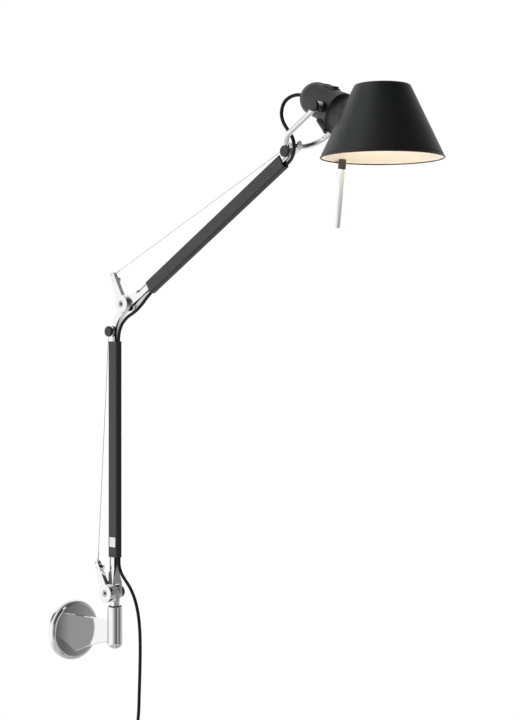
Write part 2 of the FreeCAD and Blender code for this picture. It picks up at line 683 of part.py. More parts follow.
def tension_wire(pivot, lean, length):
    """The wire from the pulley down to the eye on the lever's pin."""
    y, z = lever_point(LEVER_REACH)
    x = sum(wire_slot()) / 2
    pin = V(x, pivot[0] + y, pivot[1] + z)
    px, v, u = pulley_at(length)
    top = on_arm(pivot, lean, px, v - PULLEY_WIRE_R, u)
    way = (top - pin).normalize()
    eye_in = LEVER_PIN_R + 0.15
    eye = rod((x - WIRE_R, pin.y, pin.z), (x + WIRE_R, pin.y, pin.z), eye_in + 2 * WIRE_R)
    eye = eye.cut(rod((x - 2, pin.y, pin.z), (x + 2, pin.y, pin.z), eye_in))
    start = pin + way * (eye_in + WIRE_R)
    return eye.fuse(Part.makeCylinder(WIRE_R, (top - start).Length - 0.15, start, way)).removeSplitter()


# ---- fork ----

def fork_frame(shape):
    """From the fork's own frame, where it stands on its pivot along Z, to its place."""
    lean = math.degrees(math.atan2(-(P4[0] - P3[0]), P4[1] - P3[1]))
    return stand(shape, P3, lean)


def fork():
    """The bent rod, with a flat eye at the end of each tine."""
    reach = math.hypot(P4[0] - P3[0], P4[1] - P3[1])
    bend = FORK_HALF - FORK_FLAT
    c = bend * (1 - S)
    tip = reach - TINE_EYE_R + 1.5
    half, flat = FORK_HALF, FORK_FLAT
    path = [
        Part.makeLine(V(-half, 0, tip), V(-half, 0, bend)),
        Part.Arc(V(-half, 0, bend), V(-half + c, 0, c), V(-flat, 0, 0)).toShape(),
        Part.makeLine(V(-flat, 0, 0), V(flat, 0, 0)),
        Part.Arc(V(flat, 0, 0), V(half - c, 0, c), V(half, 0, bend)).toShape(),
        Part.makeLine(V(half, 0, bend), V(half, 0, tip)),
    ]
    made = swept(path, ROD_R)
    for side in (-1, 1):
        x = side * half
        made = made.fuse(rod((x - TINE_EYE_T / 2, 0, reach), (x + TINE_EYE_T / 2, 0, reach), TINE_EYE_R))
        made = made.cut(rod((x - 9, 0, reach), (x + 9, 0, reach), TILT_SCREW_R + RUNNING))
    return fork_frame(made.removeSplitter())


# ---- head ----

AXIS = V(0, -math.cos(math.radians(HEAD_DIP)), -math.sin(math.radians(HEAD_DIP)))
UP = V(0, -math.sin(math.radians(HEAD_DIP)), math.cos(math.radians(HEAD_DIP)))
HEAD_ORIGIN = V(0, P4[0], P4[1]) - UP * HEAD_BELOW


def on_head(t, up=0.0, x=0.0):
    return HEAD_ORIGIN + AXIS * t + UP * up + X * x


# The shade stands on the head's axis: its side is square to it.
SHADE_EDGE = on_head(SHADE_T).z - SHADE_SIDE
SHADE_Y = on_head(SHADE_T).y - SHADE_R + SHADE_SIDE * math.tan(math.radians(HEAD_DIP))
RIM_R = SHADE_R + LIP[0]
RIM_Z = SHADE_EDGE - LIP[1]


def along_head(shape):
    """Lay a shape made about Z on the head's axis, with its -Y side on top."""
    turn = FreeCAD.Rotation(-X, -UP, AXIS, "ZXY")
    made = shape.copy()
    made.Placement = FreeCAD.Placement(HEAD_ORIGIN, turn).multiply(made.Placement)
    return made


def tilt_bosses(start):
    y, z = P4
    return [rod((s * start, y, z), (s * (FORK_HALF - TINE_EYE_T / 2 - SIDE_GAP), y, z), TINE_EYE_R)
            for s in (-1, 1)]


def head_body():
    """The hollow rear housing with its round back, front flange, switch seat and pivot bosses."""
    w, t0, t1 = HEAD_WALL, FLANGE_T[0], FLANGE_T[1]
    back, s = DOME_T, S
    outer = turned((0, back - DOME_R), ((DOME_R * s, back - DOME_R * s), (DOME_R, back)),
                   (HEAD_R, t0 - 6), ((HEAD_R + 1.2, t0 - 1.6), (FLANGE_R - 1, t0)),
                   ((FLANGE_R - 0.2, t0 + 0.4), (FLANGE_R, t0 + 1.4)), (FLANGE_R, t1), (0, t1))
    i = DOME_R - w
    inner = turned((0, back - i), ((i * s, back - i * s), (i, back)), (HEAD_R - w, t0 - 4),
                   (HEAD_R - w, t1 + 1), (0, t1 + 1))
    seat = rounded((-ROCKER[1] / 2 - 2.5, ROCKER[1] / 2 + 2.5), (-31.0, -20.0), 2.0,
                   (ROCKER_T - ROCKER[0] / 2 - 3, ROCKER_T + ROCKER[0] / 2 + 3))
    body = outer.fuse(seat)
    made = along_head(body).fuse(tilt_bosses(HEAD_R - 6.5)).cut(along_head(inner))
    g = 0.7
    window = block((-ROCKER[1] / 2 - g, ROCKER[1] / 2 + g), (-40, -10),
                   (ROCKER_T - ROCKER[0] / 2 - g, ROCKER_T + ROCKER[0] / 2 + g))
    made = made.cut(along_head(window))
    made = made.cut(along_head(rod((-ROCKER[1] / 2 - 2.0, -ROCKER_PIVOT, ROCKER_T),
                                   (ROCKER[1] / 2 + 2.0, -ROCKER_PIVOT, ROCKER_T), 1.2 + RUNNING)))
    y, z = P4
    made = made.cut(rod((-50, y, z), (50, y, z), TILT_SCREW_R))
    entry, way = cable_entry()
    return made.cut(Part.makeCylinder(CORD_R + 0.02, 20, entry - way * 14, way)).removeSplitter()


def cable_entry():
    """Where the cable enters the round back of the head, and the direction out of it."""
    centre = on_head(DOME_T)
    way = V(-0.25, 0.93, 0.30).normalize()
    return centre + way * (DOME_R + 0.2), way


def head_collar():
    """The front collar, which carries the lamp holder and the spigot that the shade turns on."""
    t1, e = FLANGE_T[1], COLLAR_END - SIDE_GAP
    plug, end = HEAD_R - HEAD_WALL - SEAT_GAP, SHADE_T + LOCK_RING[1]
    made = turned((HOLDER_R + SEAT_GAP, t1 - 4), (plug, t1 - 4), (plug, t1), (FLANGE_R - 4, t1),
                  ((COLLAR_R + 2.0, t1 + 3.0), (COLLAR_R, t1 + 10.0)), (COLLAR_R, e), (SPIGOT_R, e),
                  (SPIGOT_R, end), (SPIGOT_R - 2.0, end), (SPIGOT_R - 2.0, t1 + 6),
                  (HOLDER_R + SEAT_GAP, t1 + 6))
    return along_head(made)


def lock_ring():
    """The ring on the spigot's end, inside the shade."""
    a, b = SHADE_T + LOCK_RING[0], SHADE_T + LOCK_RING[1]
    ring = turned((SPIGOT_R, a), (LOCK_RING_R, a), (LOCK_RING_R, b - 1), (LOCK_RING_R - 1, b), (SPIGOT_R, b))
    return along_head(ring)


def lamp_holder():
    """The holder that the bulb's cap screws into."""
    end, back = SHADE_T + LOCK_RING[1], FLANGE_T[1] - 4
    made = turned((0, back), (HOLDER_R - 1.5, back), (HOLDER_R, back + 1.5), (HOLDER_R, end - 1),
                  (HOLDER_R - 1, end), (LAMP_CAP_R + 0.3, end), (LAMP_CAP_R + 0.3, end - 23), (0, end - 23))
    return along_head(made)


def bulb_cap():
    """The bulb's metal screw cap."""
    r, t = LAMP_CAP_R, SHADE_T + LOCK_RING[1] + 3
    made = turned((0, t - 25.7), (2.5, t - 25.7), (3.0, t - 24), (r - 0.6, t - 22), (r, t - 21),
                  (r, t - 2.5), (r + 1, t - 1), (r + 1, t), (0, t))
    return along_head(made)


def bulb():
    """The glass globe, drawn in to its neck."""
    r, n, t = GLOBE_R, LAMP_CAP_R + 1, SHADE_T + LOCK_RING[1] + 3
    a, c = math.radians(40), t + GLOBE_T
    made = turned((0, t), (n, t), ((n + 0.9, t + 4), (n + 3.0, t + 8)), (r * math.sin(a), c - r * math.cos(a)),
                  ((r, c), (0, c + r)))
    return along_head(made)


def rocker():
    """The rocker of the switch, with a hollowed top, tipped to its on side."""
    l, w = ROCKER
    bar = outline(
        V(-w / 2, -25.0, -l / 2), V(-w / 2, -33.5, -l / 2),
        (V(-w / 2, -32.1, 0), V(-w / 2, -33.5, l / 2)), V(-w / 2, -25.0, l / 2),
    )
    made = Part.Face(bar).extrude(V(w, 0, 0))
    made = made.makeFillet(0.8, [e for e in made.Edges if e.BoundBox.YMax < -30 and e.BoundBox.YMin < -33])
    made.rotate(V(0, -ROCKER_PIVOT, 0), X, ROCKER_LEAN)
    made.translate(V(0, 0, ROCKER_T))
    made = made.cut(block((-10, 10), (-24.5, 0), (-60, 20)))
    pin = rod((-w / 2 - 1.8, -ROCKER_PIVOT, ROCKER_T), (w / 2 + 1.8, -ROCKER_PIVOT, ROCKER_T), 1.2)
    return along_head(made.fuse(pin).removeSplitter())


def tilt_knob(side):
    """The black cap screw that holds a tine's eye against the head."""
    y, z = P4
    start, end = FORK_HALF + TINE_EYE_T / 2 + SIDE_GAP, FORK_HALF + TINE_EYE_T / 2 + SIDE_GAP + TILT_KNOB_T
    cap = turned((0, start), (TILT_KNOB_R - 0.5, start), (TILT_KNOB_R, start + 1), (TILT_KNOB_R, end - 1.5),
                 ((TILT_KNOB_R - 0.45, end - 0.45), (TILT_KNOB_R - 1.5, end)), (0, end))
    cap = facing(cap, (0, y, z), (side, 0, 0))
    return cap.fuse(rod((side * (HEAD_R - 1.5), y, z), (side * start, y, z), TILT_SCREW_R)).removeSplitter()


# ---- shade ----

def shade_profile(inset):
    """A closed half section, drawn in by a wall, that revolves into the shade or its hollow."""
    a = math.radians(HEAD_DIP)
    top = SHADE_EDGE + (SHADE_R - SHADE_TOP_R) / math.tan(a)
    w = inset / math.cos(a)
    edge_r = SHADE_R - w
    rim_r = RIM_R - inset * 1.35
    q, dome = SHADE_TOP_ROUND - inset * 0.6, 1.6
    r_top = SHADE_TOP_R - w
    along = V(math.sin(a), 0, -math.cos(a))
    cap = V(-1, 0, dome / r_top).normalize()
    corner = V(r_top, 0, top - inset)
    start = corner + cap * q
    end = corner + along * q
    middle = (start + end) * 0.25 + corner * 0.5
    if inset:
        close = [V(rim_r, 0, RIM_Z), V(rim_r, 0, RIM_Z - 5), V(0, 0, RIM_Z - 5)]
    else:
        close = [V(RIM_R, 0, RIM_Z), V(0, 0, RIM_Z)]
    peak = V(0, 0, top - inset + dome)
    wire = outline(peak, start, (middle, end), V(edge_r, 0, SHADE_EDGE), *close)
    made = Part.Face(wire).revolve(V(0, 0, 0), Z, 360)
    made.translate(V(0, SHADE_Y, 0))
    return made


def shade():
    """The spun shade: a closed top, a cone and a flared lip, with a hole for the spigot."""
    hole = along_head(Part.makeCylinder(SPIGOT_R + RUNNING, 30, V(0, 0, 30)))
    return shade_profile(0).cut(shade_profile(SHADE_WALL)).cut(hole)


def shade_ring():
    """The ring between the collar and the cone, shaped to the cone's side."""
    ring = turned((SPIGOT_R + RUNNING, COLLAR_END), (COLLAR_R, COLLAR_END), (COLLAR_R, 60),
                  (SPIGOT_R + RUNNING, 60))
    return along_head(ring).cut(shade_profile(0))


def grip_way():
    top = V(0, SHADE_Y + RIM_R - GRIP_INSET, SHADE_EDGE + GRIP_UP)
    a = math.radians(GRIP_LEAN)
    way = V(0, math.sin(a), -math.cos(a))
    return top, top + way * GRIP_LENGTH, way


def grip_socket():
    """The clip on the shade's inner wall that holds the pull rod."""
    top, end, way = grip_way()
    barrel = Part.makeCylinder(GRIP_SOCKET_R, GRIP_SOCKET, top + way * 1.5, way)
    arm = block((-4.0, 4.0), (top.y, top.y + 20), (RIM_Z + 9.5, RIM_Z + 15.5))
    made = barrel.fuse(arm.common(shade_profile(SHADE_WALL)))
    return made.cut(Part.makeCylinder(GRIP_R[0], 60, top - way * 1, way)).removeSplitter()


def pull_rod():
    """The tapered rod that the shade is turned by, with a round end."""
    top, end, way = grip_way()
    long = (end - top).Length
    r0, r1 = GRIP_R
    start = GRIP_SOCKET + 1.5
    bar = turned((0, 0), (r0, 0), (r0, start + 4), (r1, long - r1), ((r1 * S, long - r1 + r1 * S), (0, long)))
    return facing(bar, (top.x, top.y, top.z), (way.x, way.y, way.z))


# ---- cables ----

def elbow_cable():
    """The cable from the lower sleeve, under the elbow, to the upper sleeve."""
    a = on_arm(P1, LOWER_LEAN, CORD_X, CORD_V, SLEEVE_START + LOWER_SLEEVE - 8)
    b = on_arm(P2, UPPER_LEAN, CORD_X, CORD_V, SLEEVE_START + 8)
    into = on_arm(P2, UPPER_LEAN, CORD_X, CORD_V, SLEEVE_START - 10.0)
    bend = [V(CORD_X, P2[0] + y, P2[1] + z) for y, z in
            ((21.0, -32.5), (7.0, -20.5), (-11.5, -13.0), (-28.0, -2.5))]
    points = [a, V(CORD_X, a.y, a.z + 17.5)] + bend + [into, b]
    return route([tuple(p) for p in points], CORD_R, "elbow cable")


def head_cable():
    """The cable from the upper sleeve, past the fork's hub and in a loop behind the head."""
    a = on_arm(P2, UPPER_LEAN, CORD_X, CORD_V, SLEEVE_START + UPPER_SLEEVE - 6)
    b = on_arm(P2, UPPER_LEAN, CORD_X, CORD_V, SLEEVE_START + UPPER_SLEEVE + 10)
    entry, way = cable_entry()
    loop = [V(x, P3[0] + y, P3[1] + z) for x, y, z in
            ((-8.0, -1.0, -15.0), (-16.0, -12.0, -5.5), (-20.0, -13.0, 9.0), (-20.5, -2.5, 21.5),
             (-19.5, 8.5, 34.5), (-17.5, 13.0, 47.5), (-14.2, 6.5, 61.0))]
    points = [a, b] + loop + [entry + way * 13.0, entry]
    return route([tuple(p) for p in points], CORD_R, "head cable")


def power_cord():
    """The power cord from the foot of the lower sleeve down to the coil."""
    a = on_arm(P1, LOWER_LEAN, CORD_X, CORD_V, SLEEVE_START)
    side = COIL_Y + COIL_R
    hang = [(a.y + y, a.z + z) for y, z in
            ((0.0, 7.0), (0.0, -7.5), (-3.5, -20.5), (-13.5, -32.0), (-29.5, -45.5), (-42.5, -65.5),
             (-50.5, -92.0), (-53.5, -126.0), (-52.8, -169.0), (-51.0, -207.0), (-49.3, -249.0),
             (-41.5, -277.0))]
    points = hang + [(side, coil_entry() + 32.8), (side, coil_entry())]
    return route([(CORD_X, y, z) for y, z in points], CORD_R, "power cord")


def coil_entry():
    return COIL_Z + 2 * CORD_R


def coil_points():
    """The ends of the coil's half turns. They spiral in and out, a layer at a time."""
    step, points = COIL_PITCH / 2, []
    for layer in range(COIL_LAYERS):
        for k in range(4):
            radius = COIL_R - step * (k if layer % 2 == 0 else 3 - k)
            points.append((CORD_X + layer * COIL_PITCH, radius))
    points.append((points[-1][0], COIL_R + step))
    return [V(x, COIL_Y + (r if i % 2 == 0 else -r), COIL_Z) for i, (x, r) in enumerate(points)]


def cord_coil():
    """The rest of the cord, wound as one unbroken length."""
    ends = coil_points()
    edges, track, length = [Part.makeLine(ends[0] + Z * 2 * CORD_R, ends[0])], [], 4 * CORD_R
    for i, (a, b) in enumerate(zip(ends, ends[1:])):
        way = -Z if i % 2 == 0 else Z
        centre, radius = (a + b) * 0.5, (b - a).Length / 2
        edges.append(Part.Arc(a, centre + way * radius, b).toShape())
        length += math.pi * radius
        for n in range(24):
            angle = math.pi * n / 24
            track.append(centre + (a - centre) * math.cos(angle) + way * radius * math.sin(angle))
    edges.append(Part.makeLine(ends[-1], ends[-1] - Z * 2 * CORD_R))
    gap = min((p - q).Length for i, p in enumerate(track) for q in track[i + 12:]) - 2 * CORD_R
    solid = swept(edges, CORD_R, CORD_SIDES)
    share = solid.Volume / (sided_area(CORD_R, CORD_SIDES) * length)
    print(f"coil: {length:.0f} mm in {len(ends) - 1} half turns, least gap {gap:.2f} mm, volume {share:.4f}")
    return solid


def cord_tie():
    """The strap that holds the turns together at the top."""
    clear = 0.35
    x = (CORD_X - CORD_R - clear, CORD_X + (COIL_LAYERS - 1) * COIL_PITCH + CORD_R + clear)
    low = COIL_R - 1.5 * COIL_PITCH - CORD_R - clear - 0.9
    high = COIL_R + COIL_PITCH * 0.25 + CORD_R + clear
    y, t = (COIL_Y - 6.0, COIL_Y + 6.0), 1.2
    band = rounded((x[0] - t, x[1] + t), (low - t, high + t), 3.0, (0, 12.0))
    hole = rounded(x, (low, high), 2.0, (-1, 13.0))
    made = band.cut(hole)
    made.rotate(V(0, 0, 0), X, 90)
    made.translate(V(0, y[1], COIL_Z))
    return made


def plug_top():
    """The middle of the plug's upper end, where the tail enters it."""
    end = coil_points()[-1] - Z * 2 * CORD_R
    return end - Z * TAIL


def plug():
    """A moulded flat plug with a tapered neck round the cord's tail, and two round contact pins."""
    length, wide, thick = PLUG_BODY
    top = plug_top()
    tail = Part.makeCylinder(CORD_R, TAIL, V(0, 0, 0), Z)
    neck = Part.makeCone(5.0, 3.6, 12.0, V(0, 0, 0), Z)
    x, y = (-thick / 2, thick / 2), (-wide / 2, wide / 2)
    body = Part.makeLoft([
        rounded_outline(x, y, 4.0, -length), rounded_outline(x, y, 4.0, -length * 0.45),
        rounded_outline((-5.4, 5.4), (-6.2, 6.2), 4.0, 0),
    ], True, True)
    made = body.fuse([neck, tail])
    r = PLUG_PIN_R
    for side in (-1, 1):
        pin = turned((0, -PLUG_PIN), (r * 0.5, -PLUG_PIN), ((r * 0.87, -PLUG_PIN + 0.4), (r, -PLUG_PIN + 1.4)),
                     (r, 0), (0, 0))
        pin.translate(V(0, side * PLUG_SPACING / 2, -length))
        made = made.fuse(pin)
    made.translate(top)
    return made.removeSplitter()


# ---- the lamp ----

def arm_pieces(name, pivot, lean, length):
    """The pieces that both arms have, in place."""
    made = {
        "foot": foot(), "sleeve": sleeve(length), "spring": spring(), "adjuster": adjuster(),
        "inner_wire": inner_wire(length), "pulley": pulley(length), "pulley_axle": pulley_axle(length),
        "pulley_cap": pulley_cap(length),
    }
    return {f"{name}_{part}": stand(shape, pivot, lean) for part, shape in made.items()}


def joint_pieces(name, pivot):
    """The lever, with what holds it and the pivot together, which stay with the piece below."""
    made = {
        "lever": lever(), "lever_pin": lever_pin(), "lever_disc": lever_disc(), "pivot_bolt": pivot_bolt(),
        "pivot_knob": pivot_knob(),
    }
    return {f"{name}_{part}": stand(shape, pivot, 0) for part, shape in made.items()}


lamp = {
    "wall_plate": wall_plate(), "rosette": rosette(), "rosette_screw": rosette_screw(),
    "bracket_screw": bracket_screw(), "wall_bracket": wall_bracket(), "swivel_bush": swivel_bush(),
    "stem": stem(),
}
lamp.update(joint_pieces("lower", P1))
lamp.update(arm_pieces("lower", P1, LOWER_LEAN, LOWER_SLEEVE))
lamp.update(joint_pieces("upper", P2))
lamp.update(arm_pieces("upper", P2, UPPER_LEAN, UPPER_SLEEVE))
lamp.update({
    "lower_cord_bush": stand(sleeve_bush(SLEEVE_START), P1, LOWER_LEAN),
    "elbow_neck": stand(elbow_neck(LOWER_SLEEVE), P1, LOWER_LEAN),
    "top_neck": stand(top_neck(UPPER_SLEEVE), P2, UPPER_LEAN),
    "fork_screw": stand(fork_screw(), P2, UPPER_LEAN),
    "lower_wire": tension_wire(P1, LOWER_LEAN, LOWER_SLEEVE),
    "upper_wire": tension_wire(P2, UPPER_LEAN, UPPER_SLEEVE),
    "fork": fork(), "head_body": head_body(), "head_collar": head_collar(), "lock_ring": lock_ring(),
    "lamp_holder": lamp_holder(), "bulb_cap": bulb_cap(), "bulb": bulb(), "rocker": rocker(),
    "tilt_knob_near": tilt_knob(-1), "tilt_knob_far": tilt_knob(1),
    "shade": shade(), "shade_ring": shade_ring(), "grip_socket": grip_socket(), "pull_rod": pull_rod(),
    "elbow_cable": elbow_cable(), "head_cable": head_cable(), "power_cord": power_cord(),
    "cord_coil": cord_coil(), "cord_tie": cord_tie(), "plug": plug(),
})

os.makedirs("parts", exist_ok=True)
for node, shape in lamp.items():
    if len(shape.Solids) != 1 or not shape.isValid():
        print(f"{node}: {len(shape.Solids)} solids, valid {shape.isValid()}")
    solid = shape.Solids[0] if len(shape.Solids) == 1 else shape
    solid.exportStep(f"parts/{node}.step")
print(f"{len(lamp)} pieces")
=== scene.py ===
# %% [markdown]
# # An articulating wall lamp
# Two arms with their balance springs inside black sleeves stand on a polished swivel bracket. A polished fork
# holds the head and its conical shade. The measured parts are loaded as a fixed frame, in metres. This script
# makes what flexes or is stuck on, and makes the shade, its rod and the head's housing anew, because the
# photograph shows them a little differently. Then come the materials, the surroundings and the lamps.

# %% Load the measured parts
import math

import bmesh
import bpy
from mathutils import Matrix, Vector


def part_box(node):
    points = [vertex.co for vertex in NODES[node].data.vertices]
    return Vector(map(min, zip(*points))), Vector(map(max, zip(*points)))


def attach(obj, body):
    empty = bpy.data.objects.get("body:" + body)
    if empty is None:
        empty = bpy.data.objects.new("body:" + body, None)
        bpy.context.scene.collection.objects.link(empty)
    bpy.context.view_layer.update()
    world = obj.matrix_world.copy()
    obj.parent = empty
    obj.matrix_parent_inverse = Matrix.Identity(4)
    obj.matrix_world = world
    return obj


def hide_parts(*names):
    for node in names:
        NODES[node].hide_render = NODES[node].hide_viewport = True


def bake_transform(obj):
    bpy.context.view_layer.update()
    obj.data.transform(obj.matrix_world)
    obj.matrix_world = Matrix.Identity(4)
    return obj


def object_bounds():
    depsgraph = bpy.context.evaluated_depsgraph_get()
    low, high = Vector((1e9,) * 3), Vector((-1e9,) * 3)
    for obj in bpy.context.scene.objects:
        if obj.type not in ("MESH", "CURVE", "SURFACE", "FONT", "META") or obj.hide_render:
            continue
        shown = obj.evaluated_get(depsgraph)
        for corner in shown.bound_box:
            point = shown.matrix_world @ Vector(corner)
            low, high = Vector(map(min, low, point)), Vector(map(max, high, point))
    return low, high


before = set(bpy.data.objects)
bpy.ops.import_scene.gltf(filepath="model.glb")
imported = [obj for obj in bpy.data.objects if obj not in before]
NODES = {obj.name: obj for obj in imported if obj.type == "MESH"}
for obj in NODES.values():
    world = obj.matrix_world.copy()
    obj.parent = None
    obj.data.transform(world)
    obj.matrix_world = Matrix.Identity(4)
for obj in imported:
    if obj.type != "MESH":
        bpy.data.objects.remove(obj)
cad_bounds = [list(corner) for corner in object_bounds()]
cad_low, cad_high = ([round(v, 3) for v in corner] for corner in cad_bounds)
print(f"{len(NODES)} parts, from {cad_low} to {cad_high}")


def mm(*place):
    """A place in millimetres, as the drawings give it, in Blender's metres."""
    return Vector(place) / 1000


# %% [markdown]
# ## The camera
# The photograph was taken level, from the side, with the wall running away from the lens at 45 degrees, so
# both the arms' plane and the face of the bracket are seen at a slant. A level camera keeps upright parts
# upright. The horizon is a little above the middle of the picture, which a lens shift gives without tilting
# the camera. A long lens, set by how much nearer parts grow, keeps the shade's rim a flat ellipse.

# %% Set the camera
PICTURE = (520, 720)                    # pixels
FOCAL_PIXELS = 1625                     # the lens, measured in the picture's own pixels
HORIZON_UP = 16                         # pixels from the picture's middle up to the horizon
SENSOR_MM = 36
CAMERA_AT = (-1.6745, -2.1125, 0.4698)  # metres
CAMERA_TURN = -45                       # degrees from looking straight at the wall

camera = bpy.data.objects.new("camera", bpy.data.cameras.new("camera"))
bpy.context.scene.collection.objects.link(camera)
bpy.context.scene.camera = camera
camera.data.sensor_width = SENSOR_MM
camera.data.lens = FOCAL_PIXELS / PICTURE[1] * SENSOR_MM
camera.data.shift_y = -HORIZON_UP / PICTURE[1]
camera.data.clip_start, camera.data.clip_end = 0.05, 60
camera.location = CAMERA_AT
camera.rotation_euler = (math.radians(90), 0, math.radians(CAMERA_TURN))
print(f"lens {camera.data.lens:.1f} mm")

# %% [markdown]
# ## The cords
# The mains cord leaves the foot of the lower sleeve through a bush, bends back over the bracket and hangs by
# its own weight. What the picture doesn't show is wound into a small tied coil, with the plug below it. It is
# one length, so it is one smooth spline: its control points are the bends of the route, then twenty to each
# turn of the coil. A NURBS spline of order 3 rounds every corner by itself. The order is set once the points
# are there, because an empty spline can't take it. A bevel on the curve would give the tube too, but here
# rings are laid along the points that the spline gives.

# %% A smooth line through a route, and a tube along it
RING_SIDES = 14


def smooth_line(points):
    """The points along the NURBS spline of a route."""
    data = bpy.data.curves.new("route", "CURVE")
    data.dimensions, data.resolution_u = "3D", 6
    line = data.splines.new("NURBS")
    line.points.add(len(points) - 1)
    for point, place in zip(line.points, points):
        point.co = (*place, 1)
    line.order_u = 3
    line.use_endpoint_u = True
    curve = bpy.data.objects.new("route", data)
    mesh = bpy.data.meshes.new_from_object(curve)
    found = [v.co.copy() for v in mesh.vertices]
    bpy.data.objects.remove(curve)
    bpy.data.meshes.remove(mesh)
    return found


def new_object(name, mesh):
    made = bpy.data.objects.new(name, mesh)
    bpy.context.scene.collection.objects.link(made)
    return made


def bridge(bm, low, high):
    """Faces between two rings that have as many points."""
    for k in range(len(low)):
        j = (k + 1) % len(low)
        bm.faces.new((low[k], low[j], high[j], high[k]))


def add_tube(bm, line, radius, sides=RING_SIDES):
    """Rings along a line, each turned as little as possible from the one before, joined into a tube."""
    last = len(line) - 1
    across = (line[1] - line[0]).orthogonal().normalized()
    rings = []
    for i, place in enumerate(line):
        way = (line[min(i + 1, last)] - line[max(i - 1, 0)]).normalized()
        across = (across - way * across.dot(way)).normalized()
        up = way.cross(across)
        r = radius(i / last) if callable(radius) else radius
        rings.append([bm.verts.new(place + (across * math.cos(a) + up * math.sin(a)) * r)
                      for a in (math.tau * k / sides for k in range(sides))])
    for low, high in zip(rings, rings[1:]):
        bridge(bm, low, high)
    bm.faces.new(rings[0][::-1])
    bm.faces.new(rings[-1])


def mesh_object(name, bm):
    bmesh.ops.recalc_face_normals(bm, faces=bm.faces)
    mesh = bpy.data.meshes.new(name)
    bm.to_mesh(mesh)
    bm.free()
    mesh.shade_smooth()
    return new_object(name, mesh)


def tube(name, line, radius, **form):
    bm = bmesh.new()
    add_tube(bm, line, radius, **form)
    return mesh_object(name, bm)


def length_of(line):
    return sum((b - a).length for a, b in zip(line, line[1:]))


# %% The mains cord and its coil
CORD_D = 5.2                            # millimetres
CORD_X = 1.5                            # how far it lies to the right of the arms' middle
CHANNEL_Y = -116.5                      # the cord's channel in the lower sleeve
SLEEVE_FOOT = (CHANNEL_Y, 129)          # where the cord leaves the lower sleeve, y and z
COIL_Y, COIL_Z = -175, -218             # the coil's middle
COIL_R, COIL_PITCH = 33, 6.4            # its outer radius, and from one turn to the next
COIL_LAYERS, LAYER_HALF_TURNS = 4, 4
HALF_TURN_POINTS = 10                   # control points to each half turn
COIL_LEAD = 32.8                        # the cord's straight way down into the coil
TAIL = 24                               # from the coil to the plug

coil_side = COIL_Y + COIL_R
route = [mm(CORD_X, SLEEVE_FOOT[0] + y, SLEEVE_FOOT[1] + z) for y, z in (
    (0, 7), (0, -7.5), (-3.5, -20.5), (-13.5, -32), (-29.5, -45.5), (-42.5, -65.5), (-50.5, -92),
    (-53.5, -126), (-52.8, -169), (-51, -207), (-49.3, -249), (-41.5, -277))]
route += [mm(CORD_X, coil_side, COIL_Z + CORD_D + COIL_LEAD), mm(CORD_X, coil_side, COIL_Z + CORD_D)]
turns = []
for layer in range(COIL_LAYERS):
    for k in range(LAYER_HALF_TURNS):
        inward = k if layer % 2 == 0 else LAYER_HALF_TURNS - 1 - k
        turns.append((CORD_X + layer * COIL_PITCH, COIL_R - COIL_PITCH / 2 * inward))
turns.append((turns[-1][0], COIL_R + COIL_PITCH / 2))
ends = [mm(x, COIL_Y + (r if i % 2 == 0 else -r), COIL_Z) for i, (x, r) in enumerate(turns)]
for i, (a, b) in enumerate(zip(ends, ends[1:])):
    middle, reach = (a + b) / 2, (b - a).length / 2
    below = -1 if i % 2 == 0 else 1
    for n in range(HALF_TURN_POINTS):
        angle = math.pi * n / HALF_TURN_POINTS
        drop = Vector((0, 0, below * reach * math.sin(angle)))
        route.append(middle + (a - middle) * math.cos(angle) + drop)
route += [ends[-1], ends[-1] - mm(0, 0, CORD_D), ends[-1] - mm(0, 0, CORD_D + TAIL)]

mains_line = smooth_line(route)
mains_cord = tube("mains_cord", mains_line, CORD_D / 2000)
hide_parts("power_cord", "cord_coil")
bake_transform(mains_cord)
print(f"mains cord: {length_of(mains_line):.2f} m, of which {len(ends) - 1} half turns in the coil")

# %% [markdown]
# ### What goes on the mains cord
# A moulded relief stops the cord from kinking where it leaves the sleeve, and another where it enters the
# plug. Both taper and have ring grooves that let them bend. They are tubes along the cord's own line with a
# radius that changes on the way. A woven strap with its end lapped over holds the coil together, and finger
# ribs on the plug's faces give a grip to pull it by.

# %% Tapered reliefs along the cord
GROOVES, GROOVE_DEEP = 7, 0.35
PLAIN_SHARE = 0.25                      # how much of a relief, from its thick end, has no grooves
SLEEVE_RELIEF = (0.0062, 0.0300)        # from and to along the cord, in metres
PLUG_RELIEF = (0.0015, 0.0225)          # the same, from the plug's end


def along(line, start, end, steps):
    """Evenly spaced places on a line between two distances from its first point, in metres."""
    marks = [0]
    for a, b in zip(line, line[1:]):
        marks.append(marks[-1] + (b - a).length)
    found = []
    for n in range(steps + 1):
        at = start + (end - start) * n / steps
        i = max(k for k in range(len(line) - 1) if marks[k] <= at)
        found.append(line[i].lerp(line[i + 1], (at - marks[i]) / (marks[i + 1] - marks[i])))
    return found


def relief_tube(name, line, start, end, thick, thin):
    """A tapered sleeve round the cord, with radii in millimetres. Its grooves die out at the thin end."""
    def radius(f):
        r = thick + (thin - thick) * f
        groove = GROOVE_DEEP * (1 - math.cos(math.tau * GROOVES * f)) / 2 if f > PLAIN_SHARE else 0
        return (r - groove * min(1, (1 - f) * 8)) / 1000
    made = tube(name, along(line, start, end, GROOVES * 6), radius, sides=20)
    print(f"{name}: {(end - start) * 1000:.0f} mm long")
    return made


cord_relief = relief_tube("cord_relief", mains_line, *SLEEVE_RELIEF, 3.5, 2.85)
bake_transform(cord_relief)
plug_relief = relief_tube("plug_relief", mains_line[::-1], *PLUG_RELIEF, 4.3, 2.9)
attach(plug_relief, "swivel_base")

